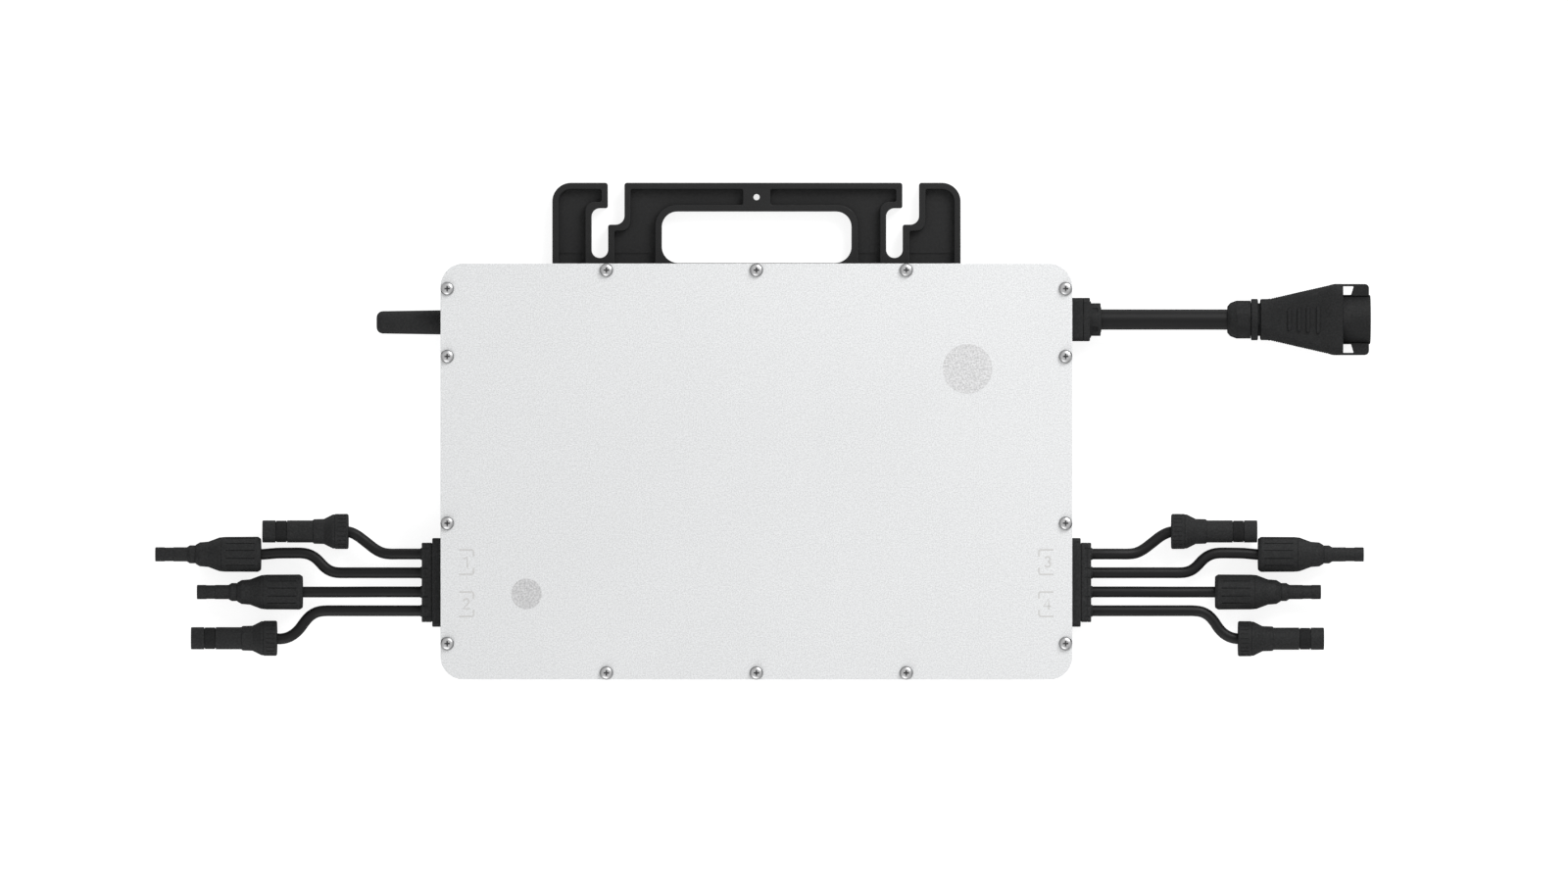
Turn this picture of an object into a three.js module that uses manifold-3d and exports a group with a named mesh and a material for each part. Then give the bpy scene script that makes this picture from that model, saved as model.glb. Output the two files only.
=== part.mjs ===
// Microinverter with four photovoltaic inputs, lying on its back.
// Millimetres. +Z is the cover's outward normal, +Y points from the case to the mounting bracket,
// and the origin is the centre of the case's back plane, which is the surface it rests on.
import * as THREE from 'three';
import { mergeVertices } from 'three/addons/utils/BufferGeometryUtils.js';
import Module from 'manifold-3d';

const wasm = await Module();
wasm.setup();

// ---- driving dimensions ------------------------------------------------------------------------

const GAP = 0.3; // clearance between touching pieces
const SIDES = 24; // facets round a turned piece

const CASE = { width: 331, height: 218, corner: 12, top: 34.6 };
const COVER_THICKNESS = 2;
const FLANGE = { bottom: 27, overhang: 7 };
const TRAY = { wall: 4, corner: 8, floorBottom: 8, floorTop: 11 };
const FIN = { count: 23, thickness: 3.2, outer: 0.5 };
const PLATEAU = { halfWidth: 45, bottom: -50, top: 34 }; // flat middle of the finned back
const GASKET = { width: 2.4, inset: 7.3, depth: 1.4 };

const SCREW = { headRadius: 3.55, headHeight: 2.1, shankRadius: 1.55, inset: 3.5, length: 12 };
const BOSS = { radius: 3.3, bottom: 20, webHalfWidth: 2.4, holeBottom: 21.5 };
const SIDE_SCREWS_Y = [95.8, 60.3, -27.1, -90.1];
const END_SCREWS_X = [-78.6, 0, 78.5];

const BRACKET = { halfWidth: 107.2, top: 151.6, corner: 9.8, thickness: 10, pocketFloor: 5 };
const FOOT = { halfWidth: 100, bottom: 74, top: 7.7, screwX: 72, screwY: 86 };
const FOOT_SCREW = { radius: 1.95, headRadius: 4, headBottom: 0.4, headTop: 3, socketRadius: 1.7 };
const SLOT_PITCH = 154.7;
const HANDLE = { left: -49.7, right: 49.9, bottom: 109.6, top: 136.55, lowCorner: 8.7, highCorner: 8.1 };
const RIVET_HOLE = { x: 0, y: 144.1, radius: 1.65 };

const ANTENNA = { y: 78.25, z: 18, rootRadius: 6.65, tipRadius: 5.85, tipX: -199.3, neckRadius: 4 };
const TAIL = 4; // how far a gland reaches past the case's wall, inside

const AC_AXIS = { y: 79.75, z: 13.6 };
const AC_GLAND = { side: 22.7, corner: 2.2, blockEnd: 174.9, noseRadius: 8.55, noseEnd: 180.5 };
const AC_PASSAGE = { y: AC_AXIS.y, z: 18, radius: 6 }; // through the case's wall
const AC_CABLE = { radius: 5.35, start: 180.8, end: 251 };
const AC_CONNECTOR = {
  shoulder: 307.7, armEnd: 321.4, armHalfDepth: 7, barrelEnd: 322, barrelRadius: 12.9,
  mouthBottom: 300, mouthRadius: 11, halfWidth: 18.65,
};
const FLARE_PLAN = [[264.4, 10.8], [268.3, 10.8], [300.7, 18.1], [303.2, 18.65], [307.7, 18.65]];
const FLARE_SIDE = [[264.4, 10.4], [268.3, 10.4], [296, 12.3], [301, 13.6], [307.7, 13.6]];
const GRIP_RIBS = [
  { x: 279.5, length: 11.4, height: 12 }, { x: 284.6, length: 12.4, height: 12.3 },
  { x: 289.3, length: 13.5, height: 12.6 }, { x: 294.6, length: 14.5, height: 13 },
];
const LATCH_WINDOW = { start: 307.7, innerEnd: 312.2, outerEnd: 313.6, inner: 12.95, outer: 17.5 };
const AC_INSERT = { bottom: 300.3, top: 306, pinEnd: 315, pinRadius: 1.5, pinOffset: 4.6 };

const DC_GLAND = { y: -58.2, z: 13, flangeHeight: 46.5, flangeDepth: 21, flangeEnd: 170.05 };
const DC_BLOCK = { height: 41.6, depth: 17, end: 175.55 };
const DC_PASSAGE = { y: DC_GLAND.y, z: 16, halfSpan: 15.7, halfDepth: 3.7 };
const LEAD = { radius: 2.85, start: DC_BLOCK.end + GAP, z: DC_GLAND.z };
const PV_Z = 9.25; // a PV connector's axis, one nut radius above the surface that it lies on

const MALE = { tipToRear: 45.2, spigotEnd: 40.5, nutFront: 38.2, nutRadius: PV_Z, nutEdge: 1 };
const FEMALE = { tipToRear: 55.6, spigotEnd: 50, nutFront: 34.9, nutRadius: 9.23, nutEdge: 1.5 };
const PV_NUT = { boreRadius: 7.1, rearHoleRadius: 4.1, rearWall: 1.3 };

// Each PV connector: which input it serves, which kind it is, and where its tip and axis lie.
const CONNECTORS = [
  { name: 'pv1_male', kind: MALE, tip: -259.4, y: -31.5 },
  { name: 'pv1_female', kind: FEMALE, tip: -315.7, y: -43.5 },
  { name: 'pv2_female', kind: FEMALE, tip: -293.8, y: -63.3 },
  { name: 'pv2_male', kind: MALE, tip: -296.9, y: -87.55 },
  { name: 'pv3_male', kind: MALE, tip: 262.95, y: -31.5 },
  { name: 'pv3_female', kind: FEMALE, tip: 318.9, y: -43.55 },
  { name: 'pv4_female', kind: FEMALE, tip: 296.4, y: -63.3 },
  { name: 'pv4_male', kind: MALE, tip: 298, y: -87.8 },
];

// Lead routes between the gland's face and the back of each connector: distance out from the
// case's middle, y and z. The first and last points follow from the gland and the connector.
const ROUTES = {
  pv1_male: [
    [182, -43.3, 12.8], [187.5, -43.3, 12.2], [192.3, -43.3, 11.5], [196.3, -42.7, 10.8],
    [200.2, -40.8, 10.2], [204.5, -37.5, 9.6], [208.8, -34.2, 9.25], [212.2, -32.3, 9.25],
    [215.4, -31.5, 9.25],
  ],
  pv1_female: [
    [186, -53.15, 12.9], [196, -53.15, 12.5], [206, -53.15, 11.9], [213.5, -53.15, 11.4],
    [218.8, -53.15, 11], [222.2, -52.7, 10.8], [225.2, -51.4, 10.6], [227.8, -49.2, 10.4],
    [230, -46.8, 10.3], [232.6, -44.7, 10.1], [235.6, -43.35, 9.9], [239.2, -42.8, 9.8],
    [245, -42.8, 9.5], [252, -42.9, 9.25], [259, -43.5, 9.25],
  ],
  pv2_female: [
    [186, -63.2, 12.8], [197, -63.2, 12], [208, -63.25, 11], [219, -63.3, 10], [230, -63.3, 9.3],
    [238, -63.3, 9.25],
  ],
  pv2_male: [
    [186, -73.1, 12.9], [196, -73.1, 12.4], [206, -73.1, 11.7], [214.5, -73.1, 11],
    [221.5, -73.1, 10.5], [226.6, -73.15, 10.1], [230.7, -73.8, 9.8], [234.3, -75.8, 9.6],
    [237.2, -78.9, 9.5], [239.6, -82.2, 9.4], [242.5, -85.1, 9.3], [246, -87.1, 9.25],
    [249.8, -87.9, 9.25], [253.1, -87.65, 9.25],
  ],
  pv3_male: [
    [183, -43.3, 12.8], [190, -43.3, 12], [195.4, -43.3, 11.2], [199.4, -42.7, 10.6],
    [203.3, -40.8, 10.1], [207.7, -37.5, 9.6], [212, -34.2, 9.25], [215.6, -32.3, 9.25],
    [219, -31.5, 9.25],
  ],
  pv3_female: [
    [187, -53.15, 12.9], [198, -53.15, 12.4], [209, -53.15, 11.8], [217, -53.15, 11.3],
    [222.6, -53.15, 10.9], [226.1, -52.7, 10.7], [229.1, -51.4, 10.5], [231.7, -49.2, 10.3],
    [233.9, -46.8, 10.2], [236.5, -44.7, 10], [239.5, -43.35, 9.9], [243.1, -42.8, 9.7],
    [249, -42.8, 9.5], [256, -42.95, 9.25], [262.5, -43.55, 9.25],
  ],
  pv4_female: [
    [186, -63.2, 12.8], [197, -63.2, 12.1], [208, -63.25, 11.1], [220, -63.3, 10.1], [231, -63.3, 9.4],
    [240, -63.3, 9.25],
  ],
  pv4_male: [
    [187, -73.1, 12.8], [198, -73.1, 12.3], [208, -73.1, 11.6], [217, -73.1, 10.9],
    [224.5, -73.1, 10.3], [229.9, -73.15, 9.9], [234, -73.8, 9.7], [237.6, -75.8, 9.5],
    [240.4, -78.9, 9.4], [242.6, -82.2, 9.3], [245.4, -85.1, 9.25], [249, -87.1, 9.25],
    [253, -87.85, 9.25],
  ],
};

const BOARD = { halfWidth: 148, halfHeight: 92, bottom: 15.3, top: 16.9 };
const STANDOFFS = [[-138, -82], [-138, 82], [0, -82], [0, 82], [138, -82], [138, 82]];
const STANDOFF_RADIUS = 4;
const TRANSFORMERS_X = [-105, -35, 35, 105];
const TRANSFORMER = {
  y: -38, coreHalfWidth: 21, coreHalfHeight: 17, windingHalfWidth: 13, windingHalfHeight: 27,
};
const CHOKE = { x: 88, y: 50, innerRadius: 8, outerRadius: 19, height: 13 };
const RELAY = { x: 126, y: 48, halfWidth: 14.5, halfHeight: 8, height: 14 };
const CAPACITOR = { start: -128, end: -94, y: 52, radius: 6.2 };

// ---- materials ---------------------------------------------------------------------------------

const finish = (color, roughness, metalness) =>
  new THREE.MeshStandardMaterial({ color, roughness, metalness });

const SILVER = finish(0xd9dbde, 0.5, 0.6);
const STEEL = finish(0xb9bcc0, 0.3, 1);
const BLACK = finish(0x232427, 0.55, 0);
const CABLE_BLACK = finish(0x1f2022, 0.5, 0);
const SEAL_GREY = finish(0x3b3c3e, 0.9, 0);
const BOARD_GREEN = finish(0x1f5c3a, 0.6, 0);
const FERRITE = finish(0x2b2a29, 0.7, 0.1);
const COPPER = finish(0xa8633a, 0.4, 0.9);

// ---- solids ------------------------------------------------------------------------------------

// A closed geometry as a solid, with its faces turned outwards.
function solid(geometry) {
  geometry.deleteAttribute('normal');
  geometry.deleteAttribute('uv');
  const merged = mergeVertices(geometry, 1e-4);
  const points = merged.attributes.position.array;
  const corners = merged.index.array;
  const faces = [];
  let volume = 0;
  for (let i = 0; i < corners.length; i += 3) {
    const [a, b, c] = corners.slice(i, i + 3);
    if (a === b || b === c || c === a) continue;
    faces.push([a, b, c]);
    const [p, q, r] = [a, b, c].map((v) => new THREE.Vector3().fromArray(points, 3 * v));
    volume += p.dot(q.cross(r));
  }
  const triVerts = new Uint32Array(faces.flatMap(([a, b, c]) => (volume > 0 ? [a, b, c] : [a, c, b])));
  const vertProperties = new Float32Array(points);
  return new wasm.Manifold(new wasm.Mesh({ numProp: 3, vertProperties, triVerts }));
}

const union = (solids) => solids.reduce((all, next) => all.add(next));
const cut = (body, tools) => tools.reduce((left, tool) => left.subtract(tool), body);

function block(low, high) {
  const size = high.map((value, i) => value - low[i]);
  const middle = high.map((value, i) => (value + low[i]) / 2);
  return solid(new THREE.BoxGeometry(...size).translate(...middle));
}

// An outline drawn in the XY plane, made solid from one height to another.
function prism(outline, bottom, top) {
  const shape = new THREE.Shape(outline);
  const geometry = new THREE.ExtrudeGeometry(shape, { depth: top - bottom, bevelEnabled: false });
  return solid(geometry.translate(0, 0, bottom));
}

// A profile of [x, radius] pairs turned round the X axis, then moved to its axis's y and z.
function turned(profile, { y = 0, z = 0 } = {}, sides = SIDES) {
  const points = profile.map(([x, radius]) => new THREE.Vector2(radius, x));
  const geometry = new THREE.LatheGeometry(points, sides);
  return solid(geometry.rotateZ(-Math.PI / 2).translate(0, y, z));
}

// The same, round a vertical axis: [z, radius] pairs.
function standing(profile, x, y, sides = SIDES) {
  const points = profile.map(([z, radius]) => new THREE.Vector2(radius, z));
  const geometry = new THREE.LatheGeometry(points, sides);
  return solid(geometry.rotateX(Math.PI / 2).translate(x, y, 0));
}

const column = (x, y, radius, bottom, top, sides = 12) =>
  standing([[bottom, 0], [bottom, radius], [top, radius], [top, 0]], x, y, sides);

const rod = (start, end, radius, axis, sides = 12) =>
  turned([[start, 0], [start, radius], [end, radius], [end, 0]], axis, sides);

// An outline from corners [x, y, fillet radius], with steps along each fillet.
function filleted(corners, steps = 3) {
  const outline = [];
  corners.forEach(([x, y, radius = 0], i) => {
    const corner = new THREE.Vector2(x, y);
    if (!radius) {
      outline.push(corner);
      return;
    }
    const before = new THREE.Vector2(...corners.at(i - 1)).sub(corner).normalize();
    const after = new THREE.Vector2(...corners[(i + 1) % corners.length]).sub(corner).normalize();
    const half = Math.acos(before.dot(after)) / 2;
    const centre = before.clone().add(after).normalize().multiplyScalar(radius / Math.sin(half)).add(corner);
    const first = before.multiplyScalar(radius / Math.tan(half)).add(corner).sub(centre);
    const last = after.multiplyScalar(radius / Math.tan(half)).add(corner).sub(centre);
    const turn = Math.atan2(first.cross(last), first.dot(last));
    for (let step = 0; step <= steps; step += 1) {
      outline.push(first.clone().rotateAround(new THREE.Vector2(), (turn * step) / steps).add(centre));
    }
  });
  return outline;
}

function roundedRectangle(halfWidth, halfHeight, radius, x = 0, y = 0, steps = 3) {
  const [left, right, low, high] = [x - halfWidth, x + halfWidth, y - halfHeight, y + halfHeight];
  const corners = [[left, low], [right, low], [right, high], [left, high]];
  return filleted(corners.map(([cornerX, cornerY]) => [cornerX, cornerY, radius]), steps);
}

// ---- the assembly ------------------------------------------------------------------------------

const inverter = new THREE.Group();

function add(name, body, material) {
  const { vertProperties, triVerts } = body.getMesh();
  const geometry = new THREE.BufferGeometry();
  geometry.setAttribute('position', new THREE.BufferAttribute(vertProperties, 3));
  geometry.setIndex(new THREE.BufferAttribute(triVerts, 1));
  geometry.computeVertexNormals();
  const mesh = new THREE.Mesh(geometry, material);
  mesh.name = name;
  inverter.add(mesh);
}

const halfWidth = CASE.width / 2;
const halfHeight = CASE.height / 2;
const wallX = halfWidth - FLANGE.overhang;
const wallY = halfHeight - FLANGE.overhang;
const coverBottom = CASE.top - COVER_THICKNESS;
const rimTop = coverBottom - GAP;

const screwPlaces = [
  ...SIDE_SCREWS_Y.flatMap((y) => [-1, 1].map((side) => [side * (halfWidth - SCREW.inset), y])),
  ...END_SCREWS_X.flatMap((x) => [-1, 1].map((side) => [x, side * (halfHeight - SCREW.inset)])),
];

// A rounded rectangular ring that follows the case's edge at a given inset.
function edgeRing(inset, width, bottom, top) {
  const outer = roundedRectangle(halfWidth - inset, halfHeight - inset, CASE.corner - inset);
  const innerCorner = Math.max(CASE.corner - inset - width, 1);
  const inner = roundedRectangle(halfWidth - inset - width, halfHeight - inset - width, innerCorner);
  return prism(outer, bottom, top).subtract(prism(inner, bottom - 1, top + 1));
}

// Die-cast tray: cooling fins under the floor, walls, a flange that the cover is screwed to, and
// bosses under the flange and under the circuit board.
function housingBase() {
  const footprint = roundedRectangle(wallX, wallY, TRAY.corner);
  const walls = prism(footprint, TRAY.floorBottom, FLANGE.bottom + 1);
  const flange = prism(roundedRectangle(halfWidth, halfHeight, CASE.corner), FLANGE.bottom, rimTop);
  const base = finnedBack().intersect(prism(footprint, -1, TRAY.floorBottom + 2));
  const bosses = screwPlaces.map(screwBoss);
  const inside = roundedRectangle(wallX - TRAY.wall, wallY - TRAY.wall, TRAY.corner - TRAY.wall);
  const cavity = prism(inside, TRAY.floorTop, rimTop + 1);
  const standoffs = STANDOFFS.map(([x, y]) =>
    column(x, y, STANDOFF_RADIUS, TRAY.floorTop - 1, BOARD.bottom - GAP, 8));
  const shell = union([walls, flange, base, ...bosses]).subtract(cavity);
  return cut(union([shell, ...standoffs]), [
    edgeRing(GASKET.inset - GAP, GASKET.width + 2 * GAP, rimTop - GASKET.depth, rimTop + 1),
    bracketRecess(),
    rod(-wallX - 1, -wallX + TRAY.wall + 1, ANTENNA.neckRadius + GAP, ANTENNA),
    rod(wallX - TRAY.wall - 1, wallX + 1, AC_PASSAGE.radius + GAP, AC_PASSAGE),
    dcWindow(-1),
    dcWindow(1),
    ...screwPlaces.map(([x, y]) => column(x, y, SCREW.shankRadius + GAP, BOSS.holeBottom, rimTop + 1, 8)),
    ...[-1, 1].map((side) =>
      column(side * FOOT.screwX, FOOT.screwY, FOOT_SCREW.radius + GAP, 0, TRAY.floorTop + 1, 10)),
  ]);
}

// Cooling fins along Y, and the flat pad in their middle that the case rests on.
function finnedBack() {
  const top = TRAY.floorBottom + 1;
  const reach = wallX + FIN.outer - FIN.thickness / 2;
  const fins = Array.from({ length: FIN.count }, (_, i) => {
    const x = -reach + (2 * reach * i) / (FIN.count - 1);
    return block([x - FIN.thickness / 2, -wallY - 1, 0], [x + FIN.thickness / 2, wallY + 1, top]);
  });
  const pad = block([-PLATEAU.halfWidth, PLATEAU.bottom, 0], [PLATEAU.halfWidth, PLATEAU.top, top]);
  return union([...fins, pad]);
}

// The flange is thicker under each screw, with a web that joins it to the wall.
function screwBoss([x, y]) {
  const top = FLANGE.bottom + 1;
  const inwardX = Math.max(-wallX + 1, Math.min(wallX - 1, x));
  const inwardY = Math.max(-wallY + 1, Math.min(wallY - 1, y));
  const [padX, padY] = x === inwardX ? [BOSS.webHalfWidth, 0] : [0, BOSS.webHalfWidth];
  const web = block(
    [Math.min(x, inwardX) - padX, Math.min(y, inwardY) - padY, BOSS.bottom + 1],
    [Math.max(x, inwardX) + padX, Math.max(y, inwardY) + padY, top],
  );
  return column(x, y, BOSS.radius, BOSS.bottom, top, 10).add(web);
}

// Where the fins stop to let the bracket's foot lie against the floor.
function bracketRecess() {
  const { halfWidth: x, bottom: y } = FOOT;
  return block([-x - 1, y - 1, -1], [x + 1, wallY + 1, TRAY.floorBottom]);
}

// The passage of a DC gland through the case's side wall.
function dcWindow(side) {
  const { y, z } = DC_PASSAGE;
  const halfSpan = DC_PASSAGE.halfSpan + GAP;
  const halfDepth = DC_PASSAGE.halfDepth + GAP;
  const [near, far] = [wallX - TRAY.wall - 1, wallX + 1].map((x) => side * x).sort((a, b) => a - b);
  return block([near, y - halfSpan, z - halfDepth], [far, y + halfSpan, z + halfDepth]);
}

function frontCover() {
  const plate = prism(roundedRectangle(halfWidth, halfHeight, CASE.corner), coverBottom, CASE.top);
  const holeRadius = SCREW.shankRadius + GAP + 0.1;
  const holes = screwPlaces.map(([x, y]) => column(x, y, holeRadius, coverBottom - 1, CASE.top + 1, 8));
  return cut(plate, holes);
}

const coverGasket = () =>
  edgeRing(GASKET.inset, GASKET.width, rimTop - GASKET.depth + GAP, rimTop);

// Pan-head machine screw with a cross recess.
function coverScrew(x, y) {
  const { headRadius, headHeight, shankRadius, length } = SCREW;
  const seat = CASE.top + GAP;
  const top = seat + headHeight;
  const profile = [
    [seat - length, 0], [seat - length, shankRadius], [seat, shankRadius], [seat, headRadius],
    [seat + 0.5 * headHeight, headRadius], [top, 0.6 * headRadius], [top, 0],
  ];
  const [long, short, depth] = [1.9, 0.45, 1.5];
  return cut(standing(profile, x, y, 10), [
    block([x - long, y - short, top - depth], [x + long, y + short, top + 1]),
    block([x - short, y - long, top - depth], [x + short, y + long, top + 1]),
  ]);
}

// ---- mounting bracket --------------------------------------------------------------------------

// One L-shaped hanging slot: a mouth open at the top, a step, and a channel with a round end.
function hangingSlot(shift) {
  const outline = filleted([
    [-78.1, BRACKET.top + 2], [-78.1, 138.3, 1], [-86.6, 138.3, 4.4], [-86.6, 112.15, 4.3],
    [-77.9, 112.15, 4.3], [-77.9, 129.6, 1], [-69.3, 129.6, 4.7], [-69.3, BRACKET.top + 2],
  ]);
  return prism(outline.map(({ x, y }) => new THREE.Vector2(x + shift, y)), -1, BRACKET.thickness + 1);
}

// Shallow pockets in the front face, which leave a rim round every edge.
function bracketPockets() {
  const [high, low, edge] = [148.3, 104.5, 103.8];
  const outlines = [
    [[-edge, high, 6.4], [-81.5, high, 1], [-81.5, 141.7, 1], [-90, 141.7, 4], [-90, low], [-edge, low]],
    [
      [-66, high, 1], [-7.2, high, 1], [-7.2, 140.1, 1], [-53.3, 140.1, 9], [-53.3, low],
      [-74.5, low], [-74.5, 126.2, 1], [-66, 126.2, 4],
    ],
    [
      [7.4, high, 1], [73.2, high, 1], [73.2, 141.7, 1], [64.8, 141.7, 4], [64.8, low],
      [53.5, low], [53.5, 140.1, 9], [7.4, 140.1, 1],
    ],
    [[88.9, high, 1], [edge, high, 6.4], [edge, low], [80.5, low], [80.5, 126.2, 1], [88.9, 126.2, 4]],
  ];
  return outlines.map((outline) => prism(filleted(outline), BRACKET.pocketFloor, BRACKET.thickness + 1));
}

// A screw hole in the bracket's foot, counterbored from the back.
function footHole(side) {
  const [x, y] = [side * FOOT.screwX, FOOT.screwY];
  const hole = column(x, y, FOOT_SCREW.radius + 0.55, -1, FOOT.top + 1, 10);
  return hole.add(column(x, y, FOOT_SCREW.headRadius + 0.6, -1, FOOT_SCREW.headTop + GAP, 12));
}

function mountingBracket() {
  const [side, bottom, { top, corner, thickness }] = [BRACKET.halfWidth, wallY + GAP, BRACKET];
  const outline = filleted([[-side, bottom], [side, bottom], [side, top, corner], [-side, top, corner]]);
  const plate = prism(outline, 0, thickness);
  const foot = block([-FOOT.halfWidth, FOOT.bottom, 0], [FOOT.halfWidth, bottom + 1, FOOT.top]);
  const handle = filleted([
    [HANDLE.left, HANDLE.bottom, HANDLE.lowCorner], [HANDLE.right, HANDLE.bottom, HANDLE.lowCorner],
    [HANDLE.right, HANDLE.top, HANDLE.highCorner], [HANDLE.left, HANDLE.top, HANDLE.highCorner],
  ]);
  return cut(plate.add(foot), [
    ...bracketPockets(),
    hangingSlot(0),
    hangingSlot(SLOT_PITCH),
    prism(handle, -1, thickness + 1),
    column(RIVET_HOLE.x, RIVET_HOLE.y, RIVET_HOLE.radius, -1, thickness + 1),
    footHole(-1),
    footHole(1),
  ]);
}

// Screw from the back, through the foot and into the case's floor.
function bracketScrew(side) {
  const { radius, headRadius, headBottom, headTop, socketRadius } = FOOT_SCREW;
  const [x, y, end] = [side * FOOT.screwX, FOOT.screwY, TRAY.floorTop - 0.5];
  const profile = [
    [headBottom, 0], [headBottom, headRadius], [headTop, headRadius], [headTop, radius],
    [end, radius], [end, 0],
  ];
  const socket = column(x, y, socketRadius, -1, headBottom + 1.5, 6);
  return standing(profile, x, y, 12).subtract(socket);
}

// ---- antenna, glands and cables ----------------------------------------------------------------

function antennaStub() {
  const { rootRadius, tipRadius, tipX, neckRadius } = ANTENNA;
  const root = -wallX - GAP;
  const neckEnd = -wallX + TRAY.wall + 3;
  const profile = [
    [tipX, 0], [tipX, tipRadius - 3.4], [tipX + 0.9, tipRadius - 1.3], [tipX + 3.2, tipRadius],
    [root, rootRadius], [root, neckRadius], [neckEnd, neckRadius], [neckEnd, 0],
  ];
  return turned(profile, ANTENNA);
}

// An outline drawn in XY becomes a plate that faces along X, centred on an axis's y and z.
const facingX = (outline, start, end, { y, z }) =>
  prism(outline, start, end).rotate([0, 90, 0]).translate([0, y, z]);

function acGland() {
  const { side, corner, blockEnd, noseRadius, noseEnd } = AC_GLAND;
  const [root, edge] = [wallX + GAP, 0.8];
  const body = facingX(roundedRectangle(side / 2, side / 2, corner), root, blockEnd, AC_AXIS);
  const nose = turned(
    [
      [blockEnd - 1, 0], [blockEnd - 1, noseRadius], [noseEnd - edge, noseRadius],
      [noseEnd, noseRadius - edge], [noseEnd, 0],
    ],
    AC_AXIS,
  );
  const tail = rod(wallX - TRAY.wall - TAIL, root + 1, AC_PASSAGE.radius, AC_PASSAGE);
  return union([body, nose, tail]);
}

function dcGland(side) {
  const { flangeHeight, flangeDepth, flangeEnd } = DC_GLAND;
  const root = wallX + GAP;
  const flange = facingX(roundedRectangle(flangeDepth / 2, flangeHeight / 2, 1.6), root, flangeEnd, DC_GLAND);
  const noseOutline = roundedRectangle(DC_BLOCK.depth / 2, DC_BLOCK.height / 2, 1.3);
  const nose = facingX(noseOutline, root, DC_BLOCK.end, DC_GLAND);
  const { y, z, halfSpan, halfDepth } = DC_PASSAGE;
  const tail = block(
    [wallX - TRAY.wall - TAIL, y - halfSpan, z - halfDepth],
    [root + 1, y + halfSpan, z + halfDepth],
  );
  const body = union([flange, nose, tail]);
  return side > 0 ? body : body.mirror([1, 0, 0]);
}

// A round section swept along a smooth curve through the points.
function tube(points, radius, sides, steps) {
  const section = [];
  for (let i = 0; i < sides; i += 1) {
    const angle = (2 * Math.PI * i) / sides;
    section.push(new THREE.Vector2(radius * Math.cos(angle), radius * Math.sin(angle)));
  }
  const places = points.map((p) => new THREE.Vector3(...p));
  const path = new THREE.CatmullRomCurve3(places, false, 'catmullrom', 0.5);
  return solid(new THREE.ExtrudeGeometry(new THREE.Shape(section), { steps, extrudePath: path }));
}

// A DC lead from its gland's face to the back of its connector's body, inside the nut. A bent one
// takes more steps than a straight one.
function lead({ name, kind, tip, y }) {
  const side = Math.sign(tip);
  const route = ROUTES[name];
  const end = Math.abs(tip) - kind.spigotEnd - GAP;
  const points = [[LEAD.start, route[0][1], LEAD.z], ...route, [end, y, PV_Z]];
  const placed = points.map(([distance, py, pz]) => [side * distance, py, pz]);
  return tube(placed, LEAD.radius, 10, route.length > 6 ? 10 : 5);
}

const acCable = () => {
  const { start, end, radius } = AC_CABLE;
  return tube([[start, AC_AXIS.y, AC_AXIS.z], [end, AC_AXIS.y, AC_AXIS.z]], radius, 12, 4);
};

// ---- PV connectors -----------------------------------------------------------------------------
// Profiles run from the tip at 0 towards the lead. placed() puts one on its axis, tip outwards.

function placed(body, { tip, y }) {
  const facing = tip < 0 ? body : body.mirror([1, 0, 0]);
  return facing.translate([tip, y, PV_Z]);
}

// Sleeve that takes a female connector's nose. The last two steps are the thread under the nut.
function maleBody(connector) {
  const profile = [
    [0, 4.1], [0, 5.4], [0.4, 5.82], [26, 5.82], [26.4, 6.5], [32.4, 6.5], [37.4, 9], [37.9, 9],
    [37.9, 6.7], [MALE.spigotEnd, 6.7], [MALE.spigotEnd, 0],
    [24, 0], [24, 4.1], [0, 4.1],
  ];
  return placed(turned(profile), connector);
}

function femaleBody(connector) {
  const profile = [
    [0, 0], [0, 3.3], [0.5, 3.75], [17.8, 3.75], [17.8, 4.75], [21, 4.75],
    [24.4, 6.7], [26.5, 6.7], [32.9, 8.85], [34.6, 8.85], [34.6, 6.7],
    [FEMALE.spigotEnd, 6.7], [FEMALE.spigotEnd, 0],
  ];
  return placed(turned(profile), connector);
}

// A nut is a cap over the body's thread with a hole for the lead.
function nut(connector) {
  const { tipToRear: rear, nutFront: front, nutRadius: radius, nutEdge: edge } = connector.kind;
  const { boreRadius, rearHoleRadius, rearWall } = PV_NUT;
  const profile = [
    [front, boreRadius], [front, radius], [rear - edge, radius], [rear, radius - edge],
    [rear, rearHoleRadius], [rear - rearWall, rearHoleRadius], [rear - rearWall, boreRadius],
    [front, boreRadius],
  ];
  return turned(profile);
}

const maleNut = (connector) => placed(nut(connector), connector);

// The female nut is long, with grip grooves along it.
function femaleNut(connector) {
  const [count, halfWidth, floor] = [8, 0.5, 8.5];
  const groove = block([37, -halfWidth, floor], [52, halfWidth, floor + 2]);
  const grooves = Array.from({ length: count }, (_, i) => groove.rotate([(360 * (i + 0.5)) / count, 0, 0]));
  return placed(cut(nut(connector), grooves), connector);
}

// ---- AC connector ------------------------------------------------------------------------------

// Domed cable nut with six flats.
function acCableNut() {
  const profile = [
    [247, 5.75], [247, 6.6], [248.4, 8.6], [251.8, 9.95], [259.4, 9.95], [259.4, 7.9],
    [251.4, 7.9], [251.4, 5.75], [247, 5.75],
  ];
  const hexagon = rod(246, 260, 10.9, AC_AXIS, 6);
  return turned(profile, AC_AXIS).intersect(hexagon);
}

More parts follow.
